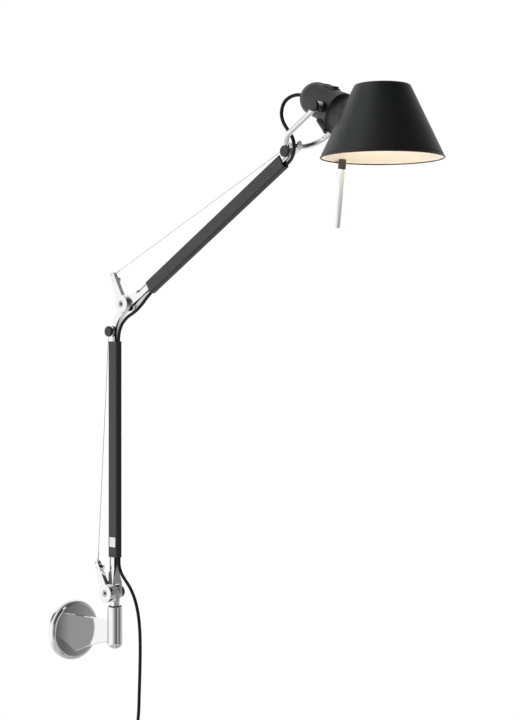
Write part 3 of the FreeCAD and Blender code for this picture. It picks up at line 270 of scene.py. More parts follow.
# %% Outlines with rounded corners
def rounded_box(low, high, r, steps):
    """The outline of a rectangle between two corners, each corner rounded in some steps."""
    (x0, y0), (x1, y1) = low, high
    centres = ((x1 - r, y1 - r), (x0 + r, y1 - r), (x0 + r, y0 + r), (x1 - r, y0 + r))
    return [(x + r * math.cos(a), y + r * math.sin(a)) for quarter, (x, y) in enumerate(centres)
            for a in (math.radians(90 * quarter + 90 / steps * k) for k in range(steps + 1))]


def add_prism(bm, rows):
    """A solid between two rows of places, the same outline twice."""
    low, high = ([bm.verts.new(place) for place in row] for row in rows)
    bridge(bm, low, high)
    bm.faces.new(low)
    bm.faces.new(high[::-1])


# %% The coil's strap
STRAP_LOW, STRAP_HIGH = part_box("cord_tie")
STRAP_T, STRAP_ROUND = 0.0011, 0.003    # thickness, and the radius at its outer corners
STRAP_EDGE = 0.0003                     # how far its four edges are bevelled
LAP = [(STRAP_LOW.x + 0.004, 0.0), (STRAP_LOW.x + 0.0045, 0.0009), (STRAP_HIGH.x - 0.006, 0.0011),
       (STRAP_HIGH.x - 0.0045, 0.0009), (STRAP_HIGH.x - 0.004, 0.0)]    # x, and height above the strap
LAP_INSET = 0.0004                      # how much narrower the lapped end is, on each side


def strap_ring(bm, inset, y):
    """One edge of the strap, so far in from its outside, in the plane across the turns."""
    outline = rounded_box((STRAP_LOW.x + inset, STRAP_LOW.z + inset),
                          (STRAP_HIGH.x - inset, STRAP_HIGH.z - inset), STRAP_ROUND - inset * 0.8, 6)
    return [bm.verts.new((x, y, z)) for x, z in outline]


y0, y1, edge = STRAP_LOW.y, STRAP_HIGH.y, STRAP_EDGE
bm = bmesh.new()
rings = [strap_ring(bm, inset, y) for inset, y in (
    (edge, y0), (0, y0 + edge), (0, y1 - edge), (edge, y1),
    (STRAP_T - edge, y1), (STRAP_T, y1 - edge), (STRAP_T, y0 + edge), (STRAP_T - edge, y0))]
for a, b in zip(rings, rings[1:] + rings[:1]):
    bridge(bm, a, b)
add_prism(bm, [[(x, y, STRAP_HIGH.z + up) for x, up in LAP] for y in (y0 + LAP_INSET, y1 - LAP_INSET)])
coil_strap = mesh_object("coil_strap", bm)
coil_strap.data.set_sharp_from_angle(angle=math.radians(40))
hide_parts("cord_tie")
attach(coil_strap, "swivel_base")
print(f"strap {(y1 - y0) * 1000:.0f} mm wide")

# %% Finger ribs on the plug
RIBS, RIB_LOW, RIB_PITCH = 5, 0.0245, 0.0034    # on each face, height of the lowest, and to the next
RIB_HALF, RIB_LOSS = 0.0078, 0.0003     # half the lowest one's length, and how much each next one loses
RIB_R = 0.0009
RIB_OUT = 0.0001                        # how far in front of the face its middle runs

plug_low, plug_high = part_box("plug")
plug_y = (plug_low.y + plug_high.y) / 2


def rib_radius(f):
    """Full in the middle, and down to about a third at both ends."""
    return RIB_R * max(0.35, math.sin(math.pi * min(0.5, max(0.04, min(f, 1 - f) * 3))))


bm = bmesh.new()
for face_x, out in ((plug_low.x, -1), (plug_high.x, 1)):
    for k in range(RIBS):
        z = plug_low.z + RIB_LOW + RIB_PITCH * k
        half = RIB_HALF - RIB_LOSS * k
        bar = [Vector((face_x + out * RIB_OUT, plug_y + half * (n / 6 - 1), z)) for n in range(13)]
        add_tube(bm, bar, rib_radius, sides=8)
plug_ribs = mesh_object("plug_ribs", bm)
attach(plug_ribs, "swivel_base")
print(f"{2 * RIBS} ribs on the plug")

# %% [markdown]
# Two short lengths of the same cord cross the joints of the lamp: one bends under the elbow, and one loops
# out behind the head, where it needs spare length to let the head tip. The one behind the head passes two
# joints, and a piece can bend across only one, so its line is cut where it passes the fork, and both pieces
# follow the fork there.

# %% Where the upper arm and the head are
ELBOW = (-144.5, 533)                   # the upper arm's pivot, y and z
UPPER_LEAN = math.radians(59)
FORK_PIVOT = (-510.995, 751.999)
HEAD_PIVOT = (-586.5, 797.295)
HEAD_DIP = math.radians(24.3)
HEAD_BELOW = 5                          # the head's axis passes this far under its pivot
AXIS = Vector((0, -math.cos(HEAD_DIP), -math.sin(HEAD_DIP)))
UP = Vector((0, -math.sin(HEAD_DIP), math.cos(HEAD_DIP)))


def on_upper_arm(u, v=11.5, x=CORD_X):
    """A point u along the upper arm from its pivot and v to the front of its middle, in millimetres."""
    c, s = math.cos(UPPER_LEAN), math.sin(UPPER_LEAN)
    return mm(x, ELBOW[0] - v * c - u * s, ELBOW[1] - v * s + u * c)


def on_head(t, up=0.0, x=0.0):
    """A point t along the head's axis from below its pivot, in millimetres."""
    return mm(x, *HEAD_PIVOT) + (AXIS * t + UP * (up - HEAD_BELOW)) / 1000


# %% The cables at the elbow and behind the head
HEAD_BACK_T, HEAD_BACK_UP = -39, 6.0    # the middle of the head's ball-shaped back
ENTRY_R = 24.0                          # just inside the ball's surface
ENTRY_RUN = 0.010                       # how far the cable goes straight in, in metres
elbow_route = [mm(CORD_X, CHANNEL_Y, 466), mm(CORD_X, CHANNEL_Y, 483.5)]
elbow_route += [mm(CORD_X, ELBOW[0] + y, ELBOW[1] + z) for y, z in
                ((21, -32.5), (7, -20.5), (-11.5, -13), (-28, -2.5))]
elbow_route += [on_upper_arm(47), on_upper_arm(65)]
elbow_line = smooth_line(elbow_route)
elbow_cord = tube("elbow_cord", elbow_line, CORD_D / 2000)
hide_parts("elbow_cable")
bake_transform(elbow_cord)

way_out = Vector((-0.27, 0.91, 0.30)).normalized()
entry = on_head(HEAD_BACK_T, up=HEAD_BACK_UP) + way_out * ENTRY_R / 1000
head_route = [on_upper_arm(389), on_upper_arm(405)]
head_route += [mm(x, FORK_PIVOT[0] + y, FORK_PIVOT[1] + z) for x, y, z in
               ((-8, -1, -15), (-16, -12, -5.5), (-20, -13, 9), (-20.5, -2.5, 21.5), (-19.5, 8.5, 34.5),
                (-18, 12.8, 49), (-15.5, 7.5, 65))]
head_route += [entry + way_out * ENTRY_RUN, entry]
head_line = smooth_line(head_route)
beside_fork = head_route[4]
cut = min(range(len(head_line)), key=lambda i: (head_line[i] - beside_fork).length)
for name, bodies, line, bends, leaves in (
    ("fork_cord", ("upper_arm", "fork"), head_line[:cut + 1], (head_route[1], beside_fork), head_line[0]),
    ("head_cord", ("fork", "head"), head_line[cut:], (head_line[cut], head_route[-2]), head_line[-1]),
):
    piece = tube(name, line, CORD_D / 2000)
    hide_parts("head_cable")
    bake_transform(piece)
    print(f"{name}: {length_of(line) * 1000:.0f} mm")

# %% [markdown]
# ## The tension wires
# A thin steel wire runs outside each arm, from a pin in the lever's tip to the pulley at the sleeve's far
# end. The lever stays with the part below while the arm turns, so the wire's foot is on the lever and its top
# on the arm. The real end is a loop closed by a pressed ferrule, which a plain rod lacks.

# %% Make a wire with its loop and ferrule
WIRE_R = 0.6
PIN_R = 1.6
PIN_GAP = 0.15                          # between the pin and the wire's loop
FERRULE = (1.15, 9.0)                   # radius and length
WIRE_RINGS = 40                         # along the wire, closer together near the pin


def tension_wire(name, node, pin, top, bodies):
    """A closed loop round the pin, a ferrule, and the wire up to the pulley, as one mesh."""
    way = (top - pin).normalized()
    flat = way.cross(Vector((1, 0, 0))).normalized()
    r = (PIN_R + WIRE_R + PIN_GAP) / 1000
    neck = pin + way * (3.4 * r)
    loop = [neck - flat * 0.0004, pin + way * 1.6 * r - flat * 0.7 * r]
    loop += [pin + (way * math.cos(a) - flat * math.sin(a)) * r for a in
             (math.radians(60 + 40 * k) for k in range(7))]
    loop += [pin + way * 1.6 * r + flat * 0.7 * r, neck + flat * 0.0004]
    bm = bmesh.new()
    add_tube(bm, smooth_line(loop), WIRE_R / 1000, sides=8)
    wire_line = [neck + (top - neck) * (k / WIRE_RINGS) ** 1.5 for k in range(WIRE_RINGS + 1)]
    add_tube(bm, wire_line, WIRE_R / 1000, sides=8)
    long = FERRULE[1] / 1000
    barrel = [neck + way * (long * f - 0.001) for f in (0, 0.04, 0.3, 0.36, 0.6, 0.66, 0.96, 1)]
    swell = (0.75, 1, 1, 0.86, 0.86, 1, 1, 0.75)
    add_tube(bm, barrel, lambda f: FERRULE[0] / 1000 * swell[round(f * 7)], sides=12)
    wire = mesh_object(name, bm)
    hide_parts(node)
    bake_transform(wire)
    print(f"{name}: {(top - pin).length * 1000:.0f} mm")


# %% Place both wires
SHOULDER = (-105, 72)                   # the lower arm's pivot, y and z
LEVER_REACH, LEVER_BACK = 52, math.radians(26)
WIRE_SLOT_X = -12.45                    # middle of the slot in the lever's tip
LOWER_SLEEVE_END, UPPER_SLEEVE_END = 402, 395   # from each arm's pivot
PULLEY = (-3.7, -0.75, 16)              # x, across the arm, and along it beyond the sleeve
PULLEY_WIRE_R = 5.75


def wire_ends(pivot, lean, sleeve_end):
    """The lever's pin and where the wire reaches the pulley."""
    pin = mm(WIRE_SLOT_X, pivot[0] + LEVER_REACH * math.sin(LEVER_BACK),
             pivot[1] + LEVER_REACH * math.cos(LEVER_BACK))
    v, u = PULLEY[1] - PULLEY_WIRE_R, sleeve_end + PULLEY[2]
    c, s = math.cos(lean), math.sin(lean)
    return pin, mm(PULLEY[0], pivot[0] - v * c - u * s, pivot[1] - v * s + u * c)


for name, ends, bodies in (
    ("lower", wire_ends(SHOULDER, 0, LOWER_SLEEVE_END), ("swivel_base", "lower_arm")),
    ("upper", wire_ends(ELBOW, UPPER_LEAN, UPPER_SLEEVE_END), ("lower_arm", "upper_arm")),
):
    tension_wire(f"{name}_tension_wire", f"{name}_wire", *ends, bodies)

# %% [markdown]
# ## The label
# Near the foot of the lower sleeve the lamp carries a small plain label of white paper, stuck on and a little
# proud. A sheet with rounded corners, about a tenth of a millimetre thick, follows the sleeve's flat.

# %% Stick the label on
LABEL_Y, LABEL_Z = (-117.6, -103.4), (145.4, 160.9)
LABEL_ROUND, LABEL_T = 1.2, 0.12
face_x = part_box("lower_sleeve")[0].x

outline = rounded_box(*zip(LABEL_Y, LABEL_Z), LABEL_ROUND, 4)
bm = bmesh.new()
add_prism(bm, [[(x, y / 1000, z / 1000) for y, z in outline] for x in (face_x, face_x - LABEL_T / 1000)])
label = mesh_object("blank_label", bm)
label.data.shade_flat()
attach(label, "lower_arm")
print(f"label {LABEL_Y[1] - LABEL_Y[0]:.1f} by {LABEL_Z[1] - LABEL_Z[0]:.1f} mm")

# %% [markdown]
# ## Smooth shading
# The parts arrive as flat triangles. Round faces should shade as one surface while machined edges stay
# crisp: points at the same place are welded, and edges sharper than a limit are split again. Both are
# modifiers, so the measured meshes stay as they are.

# %% Weld and split by angle
SHARP = math.radians(33)
for node in NODES.values():
    node.data.shade_smooth()
    weld = node.modifiers.new("weld", "WELD")
    weld.merge_threshold = 0.000002
    split = node.modifiers.new("sharp_edges", "EDGE_SPLIT")
    split.split_angle = SHARP
print(f"{len(NODES)} parts shade smoothly")

# %% [markdown]
# ## Materials
# Each finish is a Principled shader. What is the same all over is set on its sockets. What varies, such as
# the faint ripple of hand-polished castings or the fine grain of a powder coat, comes from noise in object
# space, which lies at the origin for every part, so its scale is the same everywhere.

# %% A shader with its varying roughness and its relief
NOISE_LOW, NOISE_HIGH = 0.3, 0.7        # noise seldom leaves this range


def material(name, colour, roughness, metallic=0.0, **sockets):
    """A Principled material, with the rest of its sockets by name."""
    made = bpy.data.materials.new(name)
    made.use_nodes = True
    shader = made.node_tree.nodes["Principled BSDF"]
    shader.inputs["Base Color"].default_value = (*colour, 1)
    shader.inputs["Roughness"].default_value = roughness
    shader.inputs["Metallic"].default_value = metallic
    for socket, value in sockets.items():
        shader.inputs[socket.replace("_", " ")].default_value = value
    return made


def node(made, kind, **settings):
    """A node in a material's or the world's tree, with values for its sockets or its own settings."""
    found = made.node_tree.nodes.new(kind)
    for key, value in settings.items():
        socket = key.replace("_", " ")
        if socket in found.inputs:
            found.inputs[socket].default_value = value
        else:
            setattr(found, key, value)
    return found


def feed(made, output, socket):
    """Link an output to a socket of the material's shader."""
    made.node_tree.links.new(output, made.node_tree.nodes["Principled BSDF"].inputs[socket])


def noise(made, scale, detail=2.0, stretch=(1, 1, 1)):
    """Noise in object space, in features to a metre, stretched along an axis if asked."""
    place = node(made, "ShaderNodeTexCoord")
    size = node(made, "ShaderNodeMapping", Scale=stretch)
    grain = node(made, "ShaderNodeTexNoise", Scale=scale, Detail=detail)
    made.node_tree.links.new(place.outputs["Object"], size.inputs["Vector"])
    made.node_tree.links.new(size.outputs["Vector"], grain.inputs["Vector"])
    return grain.outputs["Fac"]


def vary(made, source, socket, low, high):
    """Drive a socket of the shader from noise, between two values."""
    span = node(made, "ShaderNodeMapRange", From_Min=NOISE_LOW, From_Max=NOISE_HIGH, To_Min=low, To_Max=high)
    made.node_tree.links.new(source, span.inputs["Value"])
    feed(made, span.outputs["Result"], socket)


def tint(made, source, dark, light):
    """Vary the base colour between two colours."""
    ramp = node(made, "ShaderNodeValToRGB")
    for stop, position, colour in zip(ramp.color_ramp.elements, (NOISE_LOW, NOISE_HIGH), (dark, light)):
        stop.position, stop.color = position, (*colour, 1)
    made.node_tree.links.new(source, ramp.inputs["Fac"])
    feed(made, ramp.outputs["Color"], "Base Color")


def relief(made, source, depth, strength=1.0):
    """A bump of a depth in metres."""
    bump = node(made, "ShaderNodeBump", Strength=strength, Distance=depth)
    made.node_tree.links.new(source, bump.inputs["Height"])
    feed(made, bump.outputs["Normal"], "Normal")


def wear(*names, finish):
    """Give a material to parts and pieces by name."""
    for name in names:
        data = bpy.data.objects[name].data
        data.materials.clear()
        data.materials.append(finish)
    print(f"{finish.name}: {len(names)} parts")


# %% [markdown]
# ### Mirror-polished castings
# The bracket, levers, necks and fork are cast aluminium, ground and polished until they mirror the studio.
# Polishing leaves a very faint ripple and a few duller patches, which keep the mirror from looking computed.

# %% Polished aluminium
JOINTS = ("lower", "upper")
polished = material("polished_aluminium", (0.93, 0.93, 0.935), 0.045, metallic=1.0)
vary(polished, noise(polished, 60, 3), "Roughness", 0.03, 0.075)
relief(polished, noise(polished, 35, 1), 0.00004, 0.35)
POLISHED_PARTS = ("lever", "lever_disc", "foot", "pulley", "pulley_axle")
wear("rosette", "wall_bracket", "stem", "elbow_neck", "top_neck", "fork",
     *(f"{j}_{part}" for j in JOINTS for part in POLISHED_PARTS), finish=polished)

# %% [markdown]
# ### Plain steel
# Screws, springs, pins, plates and wires are turned or drawn steel: a duller metal, with streaks left by
# the tool.

# %% Steel
steel = material("turned_steel", (0.56, 0.565, 0.57), 0.3, metallic=1.0)
vary(steel, noise(steel, 700, 3, stretch=(0.15, 1, 1)), "Roughness", 0.22, 0.42)
relief(steel, noise(steel, 1500, 2, stretch=(0.1, 1, 1)), 0.00002, 0.4)
STEEL_PARTS = ("pivot_bolt", "lever_pin", "adjuster", "inner_wire", "spring")
wear("wall_plate", "rosette_screw", "bracket_screw", "fork_screw",
     *(f"{j}_{part}" for j in JOINTS for part in STEEL_PARTS), finish=steel)

# %% [markdown]
# ### Black coats and mouldings
# The sleeves are extruded aluminium under a fine satin powder coat, the shade is spun and sprayed a little
# smoother, and the head, caps and knobs are moulded with a fine matt grain.

# %% Powder coat on the sleeves
coat = material("black_powder_coat", (0.034, 0.035, 0.0345), 0.5, Specular_IOR_Level=0.55)
tint(coat, noise(coat, 90, 3), (0.031, 0.032, 0.0315), (0.037, 0.038, 0.0375))
vary(coat, noise(coat, 1800, 2), "Roughness", 0.42, 0.56)
relief(coat, noise(coat, 4200, 2), 0.00003, 0.5)
wear("lower_sleeve", "upper_sleeve", finish=coat)

# %% Moulded black plastic
moulded = material("black_moulding", (0.03, 0.03, 0.031), 0.42)
tint(moulded, noise(moulded, 70, 2), (0.027, 0.027, 0.028), (0.034, 0.034, 0.035))
vary(moulded, noise(moulded, 1400, 2), "Roughness", 0.34, 0.5)
relief(moulded, noise(moulded, 3200, 2), 0.00003, 0.4)
wear("head_collar", "lock_ring", "rocker", "shade_ring", "swivel_bush", "lower_cord_bush",
     "tilt_knob_near", "tilt_knob_far", "plug", "plug_ribs",
     *(f"{j}_{part}" for j in JOINTS for part in ("pivot_knob", "pulley_cap")), finish=moulded)

# %% The cord's sheath and the coil's strap
sheath = material("black_cord_sheath", (0.01, 0.01, 0.0104), 0.45, Specular_IOR_Level=0.3)
tint(sheath, noise(sheath, 160, 2), (0.0085, 0.0085, 0.009), (0.0115, 0.0115, 0.012))
vary(sheath, noise(sheath, 800, 2), "Roughness", 0.38, 0.52)
relief(sheath, noise(sheath, 2600, 2), 0.00002, 0.3)
wear("mains_cord", "elbow_cord", "fork_cord", "head_cord", "cord_relief", "plug_relief", finish=sheath)
woven = material("woven_strap", (0.02, 0.02, 0.021), 0.8)
tint(woven, noise(woven, 2400, 1, stretch=(1, 0.3, 1)), (0.014, 0.014, 0.015), (0.028, 0.028, 0.03))
vary(woven, noise(woven, 1800, 2), "Roughness", 0.7, 0.9)
relief(woven, noise(woven, 2600, 1, stretch=(1, 0.25, 1)), 0.00015, 0.7)
wear("coil_strap", finish=woven)

# %% [markdown]
# ## The shade
# The real shade is one disc of aluminium spun over a former: a slightly domed top, a straight cone, and a
# small lip whose edge is turned back on itself for stiffness. A lathe is the modelling twin of spinning: the
# half section is drawn once and swept round the axis. The photograph shows the cone a little taller and its
# lip smaller than the measured part, so this piece stands in for it, with the hole for the head cut in its
# side.

# %% Spin a half section round an axis
SPIN_STEPS = 128


def spin(name, section, place, steps=SPIN_STEPS):
    """Sweep (radius, height, offset) rows round an axis. A row on the axis is a single point."""
    bm = bmesh.new()
    rings = []
    for r, z, *offset in section:
        off = offset[0] if offset else 0
        if r < 0.01:
            rings.append([bm.verts.new(place(0, off, z))] * steps)
        else:
            rings.append([bm.verts.new(place(r * math.cos(a), off + r * math.sin(a), z))
                          for a in (math.tau * k / steps for k in range(steps))])
    for low, high in zip(rings, rings[1:]):
        for k in range(steps):
            j = (k + 1) % steps
            corners = [low[k], low[j], high[j], high[k]]
            unique = [v for i, v in enumerate(corners) if v not in corners[:i]]
            if len(unique) > 2:
                bm.faces.new(unique)
    return mesh_object(name, bm)


def combine(piece, operation, tool):
    """Join or cut with a second closed mesh, which is used up."""
    step = piece.modifiers.new("step", "BOOLEAN")
    step.object, step.operation, step.solver = tool, operation, "MANIFOLD"
    bpy.context.view_layer.update()
    found = bpy.data.meshes.new_from_object(piece.evaluated_get(bpy.context.evaluated_depsgraph_get()))
    piece.modifiers.clear()
    piece.data = found
    bpy.data.objects.remove(tool)


def crisp(piece, degrees):
    """Smooth shading, with edges sharper than an angle kept crisp."""
    piece.data.shade_smooth()
    piece.data.set_sharp_from_angle(angle=math.radians(degrees))


def arc(centre, radius, start, end, steps):
    """Points on an arc in the half section's plane, angles in degrees from the outward direction."""
    angles = [math.radians(start + (end - start) * k / steps) for k in range(steps + 1)]
    return [(centre[0] + radius * math.cos(a), centre[1] + radius * math.sin(a)) for a in angles]


# %% The shade's section
CONE_ANGLE = 25.45                      # half angle of the cone
TOP_Z, TOP_R, TOP_ROUND, TOP_DOME = 822.3, 39.4, 4.0, 1.2
LIP_Z, RIM_R, RIM_Z = 729.5, 85.0, 722.3
SHEET, ROLL_R = 1.2, 1.15               # the sheet's thickness, and the rolled edge's radius
SHADE_BACK = 0.5                        # how much nearer the arm its axis is than the measured part's
low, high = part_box("shade")
shade_axis = ((low + high) / 2 * 1000).to_tuple()

cone = math.radians(CONE_ANGLE)
dome = [(0, TOP_Z), (TOP_R * 0.5, TOP_Z - TOP_DOME * 0.2), (TOP_R - TOP_ROUND - 6, TOP_Z - TOP_DOME * 0.75)]
shoulder = arc((TOP_R - TOP_ROUND, TOP_Z - TOP_DOME - TOP_ROUND), TOP_ROUND, 84, CONE_ANGLE, 6)
start_r, start_z = shoulder[-1]
lip_r = start_r + (start_z - LIP_Z) * math.tan(cone)
wall = [(start_r + (lip_r - start_r) * f, start_z + (LIP_Z - start_z) * f)
        for f in (0.03, 0.2, 0.4, 0.6, 0.8, 0.97)]
lip = [(lip_r + 0.55, LIP_Z - 1.2), (lip_r + 1.5, LIP_Z - 3.2), (RIM_R - 1.9, RIM_Z + 1.9)]
roll = arc((RIM_R - ROLL_R, RIM_Z + ROLL_R * 0.2), ROLL_R, 62, -200, 12)
inside = [(lip_r - 0.2, LIP_Z - 3.4), (lip_r - 1.0, LIP_Z - 1.4)]
inside += [(r - SHEET / math.cos(cone), z) for r, z in reversed(shoulder[-1:] + wall[:-1])]
inside += [(r - SHEET * 0.8, z - SHEET) for r, z in reversed(shoulder[:6:2])]
inside += [(r, z - SHEET) for r, z in (dome[2], dome[0])]
spun_shade = spin("spun_shade", dome + shoulder + wall + lip + roll + inside,
                  lambda x, y, z: mm(shade_axis[0] + x, shade_axis[1] + y + SHADE_BACK, z))

# %% Cut the hole for the head's collar
HOLE_R = 24.3


def round_bar(start, end, radius, sides=48):
    """A closed round bar between two places."""
    bm = bmesh.new()
    add_tube(bm, [start, end], radius / 1000, sides=sides)
    return mesh_object("bar", bm)


combine(spun_shade, "DIFFERENCE", round_bar(on_head(20), on_head(60), HOLE_R, 64))
crisp(spun_shade, 40)
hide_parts("shade")
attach(spun_shade, "shade")
print(f"shade: {len(spun_shade.data.polygons)} faces, {2 * RIM_R:.0f} mm across, {TOP_Z - RIM_Z:.0f} mm high")

# %% [markdown]
# ## The pull rod
# The shade is turned by a short satin rod on its lip, at the side next to the arm. It tapers a little, ends
# round and sits in a moulded socket that hangs just below the rim. Both are spun from their half sections.

# %% Spin the rod and its socket
ROD_TOP, ROD_END = mm(0, -599.4, 722), mm(0, -590.2, 630.6)
ROD_R = (4.7, 3.6)                      # at the top and at the end
ROD_STRAIGHT = 12                       # how far down it is straight before it tapers
SOCKET_R, SOCKET_LONG, SOCKET_ABOVE = 5.3, 14.0, 4.4    # the last is how much of it is above the rim

down = (ROD_END - ROD_TOP).normalized()
forward = down.cross(Vector((1, 0, 0))).normalized()


def on_rod(x, y, t):
    """A point t down the rod from the rim's plane."""
    return ROD_TOP + (Vector((1, 0, 0)) * x + forward * y + down * t) / 1000


rod_long = (ROD_END - ROD_TOP).length * 1000
top_r, end_r = ROD_R
rod_section = [(0, 0), (top_r, 0), (top_r, ROD_STRAIGHT)]
rod_section += [(top_r + (end_r - top_r) * f, ROD_STRAIGHT + (rod_long - ROD_STRAIGHT - end_r) * f)
                for f in (0.3, 0.6, 1)]
rod_section += [(end_r * math.cos(a), rod_long - end_r * (1 - math.sin(a)))
                for a in map(math.radians, (15, 35, 55, 75, 90))]
satin_rod = spin("satin_rod", rod_section, on_rod, 40)
crisp(satin_rod, 50)
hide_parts("pull_rod")
r, bore, foot = SOCKET_R, top_r + 0.1, SOCKET_LONG - SOCKET_ABOVE
socket_section = [(0, -SOCKET_ABOVE), (r - 0.8, -SOCKET_ABOVE), (r, 0.8 - SOCKET_ABOVE),
                  (r + 0.3, foot - 3.5), (r + 0.3, foot - 0.9), (r - 0.4, foot),
                  (bore, foot), (bore, 1), (0, 1)]
rod_socket = spin("rod_socket", socket_section, on_rod, 40)
crisp(rod_socket, 40)
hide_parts("grip_socket")
for piece in (satin_rod, rod_socket):
    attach(piece, "shade")
print(f"rod: {rod_long:.0f} mm below the rim's plane")

# %% [markdown]
# ## The head's rear housing
# Behind the shade's collar sits a moulded housing with a ball-shaped back. Its barrel lies in line with the
# tilt pivot, a little above the collar's middle, so each ring of the section also gets an offset. A groove
# in its front edge leaves a dark gap round the collar, and a tapered lug below it carries a screw. The
# switch sits on a low seat, and bosses on both sides meet the fork's eyes: those shapes are joined on and
# cut with booleans, as a mould-maker would add and take away.

# %% Spin the housing, with its middle drifting down to its front edge
BARREL_R = 24.2
FRONT_T, FRONT_R, FRONT_UP = 12.0, 28.3, 3.0
GROOVE_T, GROOVE_R, GROOVE_UP = 5.5, 26.3, 2.0

housing = [(BARREL_R * math.sin(a), HEAD_BACK_T - BARREL_R * math.cos(a), HEAD_BACK_UP)
           for a in map(math.radians, range(0, 91, 9))]
housing += [(BARREL_R + more, t, up) for more, t, up in
            ((0.3, -20, 5.8), (0.9, -6, 5.4), (1.8, 2, 4.8), (3.0, 7, 3.9))]
housing += [(FRONT_R - 0.3, FRONT_T - 1.6, FRONT_UP + 0.2), (FRONT_R, FRONT_T - 0.8, FRONT_UP),
            (FRONT_R - 0.5, FRONT_T, FRONT_UP)]
housing += [(GROOVE_R + 0.3, FRONT_T, GROOVE_UP), (GROOVE_R, FRONT_T - 0.4, GROOVE_UP),
            (GROOVE_R, GROOVE_T, GROOVE_UP), (0, GROOVE_T, 0)]
head_housing = spin("head_housing", housing, lambda x, y, t: on_head(t, up=y, x=x), 96)

# %% Add the switch's seat and the bosses
ROCKER_T, ROCKER_LONG, ROCKER_WIDE = -19.0, 17.0, 11.0
SEAT_FOOT, SEAT_UP = 15, 31.4           # from inside the barrel up to its top
SEAT_EDGE_X, SEAT_EDGE_T = 2.2, 2.8     # how far it reaches past the switch, across and along
SEAT_ROUND = 2.2
WELL_FOOT, WELL_UP = 20, 40             # the well is cut from here up and out
WELL_GAP, WELL_ROUND = 0.7, 0.8
BOSS_IN, BOSS_OUT, BOSS_R = 20.0, 32.3, 7.4     # from and to, out from the middle, and radius


def slab(half_x, half_t, ups, round_by):
    """A block on the head round the switch's middle, with rounded upright corners."""
    outline = rounded_box((-half_x, ROCKER_T - half_t), (half_x, ROCKER_T + half_t), round_by, 4)
    bm = bmesh.new()
    add_prism(bm, [[on_head(t, up=u, x=x) for x, t in outline] for u in ups])
    return mesh_object("slab", bm)


seat = slab(ROCKER_WIDE / 2 + SEAT_EDGE_X, ROCKER_LONG / 2 + SEAT_EDGE_T, (SEAT_FOOT, SEAT_UP), SEAT_ROUND)
combine(head_housing, "UNION", seat)
for side in (1, -1):
    boss = round_bar(mm(side * BOSS_IN, *HEAD_PIVOT), mm(side * BOSS_OUT, *HEAD_PIVOT), BOSS_R)
    combine(head_housing, "UNION", boss)

# %% Add the lug for the screw, then cut the switch's well
LUG_AT = math.radians(235)              # round the collar, from its +x side over its top
LUG_OUT = 30.6                          # the screw's distance from the collar's middle
LUG_R = (3.0, 4.6)                      # at its back and at its front
LUG_LONG, LUG_LEAN = 26.0, 0.31         # how far it runs back, and the share by which it nears the middle
LUG_DEEP = 1.2                          # how much deeper its inner half is than its outer one
lug_x, lug_up = LUG_OUT * math.cos(LUG_AT), LUG_OUT * math.sin(LUG_AT)


def on_lug(x, y, t):
    """A point t in front of the lug's end, whose line leans in towards the back; its inner half is deeper."""
    back = t / LUG_LONG
    inward = -min(0, x * math.cos(LUG_AT) + y * math.sin(LUG_AT)) * LUG_DEEP
    x, y = x - inward * math.cos(LUG_AT), y - inward * math.sin(LUG_AT)
    return on_head(FRONT_T + t, up=lug_up * (1 + LUG_LEAN * back) + y, x=lug_x * (1 + LUG_LEAN * back) + x)


thin_r, wide_r = LUG_R
lug = [(0, -LUG_LONG), (thin_r, -LUG_LONG), (wide_r - 0.6, -6), (wide_r, -2), (wide_r, -0.7),
       (wide_r - 0.5, -0.1), (0, -0.1)]
combine(head_housing, "UNION", spin("lug", lug, on_lug, 32))
well = slab(ROCKER_WIDE / 2 + WELL_GAP, ROCKER_LONG / 2 + WELL_GAP, (WELL_FOOT, WELL_UP), WELL_ROUND)
combine(head_housing, "DIFFERENCE", well)
crisp(head_housing, 34)
soften = head_housing.modifiers.new("soft_edges", "BEVEL")
soften.width, soften.segments, soften.limit_method, soften.angle_limit = 0.0005, 2, "ANGLE", math.radians(50)
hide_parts("head_body")
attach(head_housing, "head")
print(f"housing: {len(head_housing.data.polygons)} faces")

# %% A small screw in the lug
SCREW_R = 1.9
screw = [(0, 11.6), (SCREW_R, 11.6), (SCREW_R, 12.4), (SCREW_R - 0.5, 12.9), (0.5, 13.1), (0.45, 12.7),
         (0, 12.7)]
flange_screw = spin("flange_screw", screw, lambda x, y, t: on_head(t, up=lug_up + y, x=lug_x + x), 24)
crisp(flange_screw, 40)
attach(flange_screw, "head")

# %% Finish the head and the rod
wear("head_housing", finish=moulded)
wear("flange_screw", finish=steel)
satin = material("satin_rod_finish", (0.90, 0.96, 1.0), 0.3, metallic=0.15)
vary(satin, noise(satin, 1200, 2, stretch=(1, 1, 0.05)), "Roughness", 0.26, 0.4)
relief(satin, noise(satin, 2500, 2, stretch=(1, 1, 0.05)), 0.00001, 0.3)
wear("satin_rod", finish=satin)
drawn = material("bright_drawn_wire", (0.86, 0.865, 0.87), 0.3, metallic=0.45)
vary(drawn, noise(drawn, 1600, 2), "Roughness", 0.24, 0.38)
wear("lower_tension_wire", "upper_tension_wire", finish=drawn)
# The socket is a dark moulding, tinted brown in its base colour: the brown is a painted reflection of the
# warm light inside the shade.
dark_moulding_painted_warm = material("dark_socket_painted_warm_reflection", (0.05, 0.042, 0.034), 0.35)
vary(dark_moulding_painted_warm, noise(dark_moulding_painted_warm, 900, 2), "Roughness", 0.28, 0.42)
relief(dark_moulding_painted_warm, noise(dark_moulding_painted_warm, 2600, 2), 0.00002, 0.3)
wear("rod_socket", finish=dark_moulding_painted_warm)

# %% [markdown]
# ### The shade's two coats
# Outside it is sprayed satin black, with the slight rings that spinning leaves. Inside it is white, to throw
# the light down. One mesh carries both coats: a face belongs to the inside when it looks towards the axis, or
# down from under the dome.

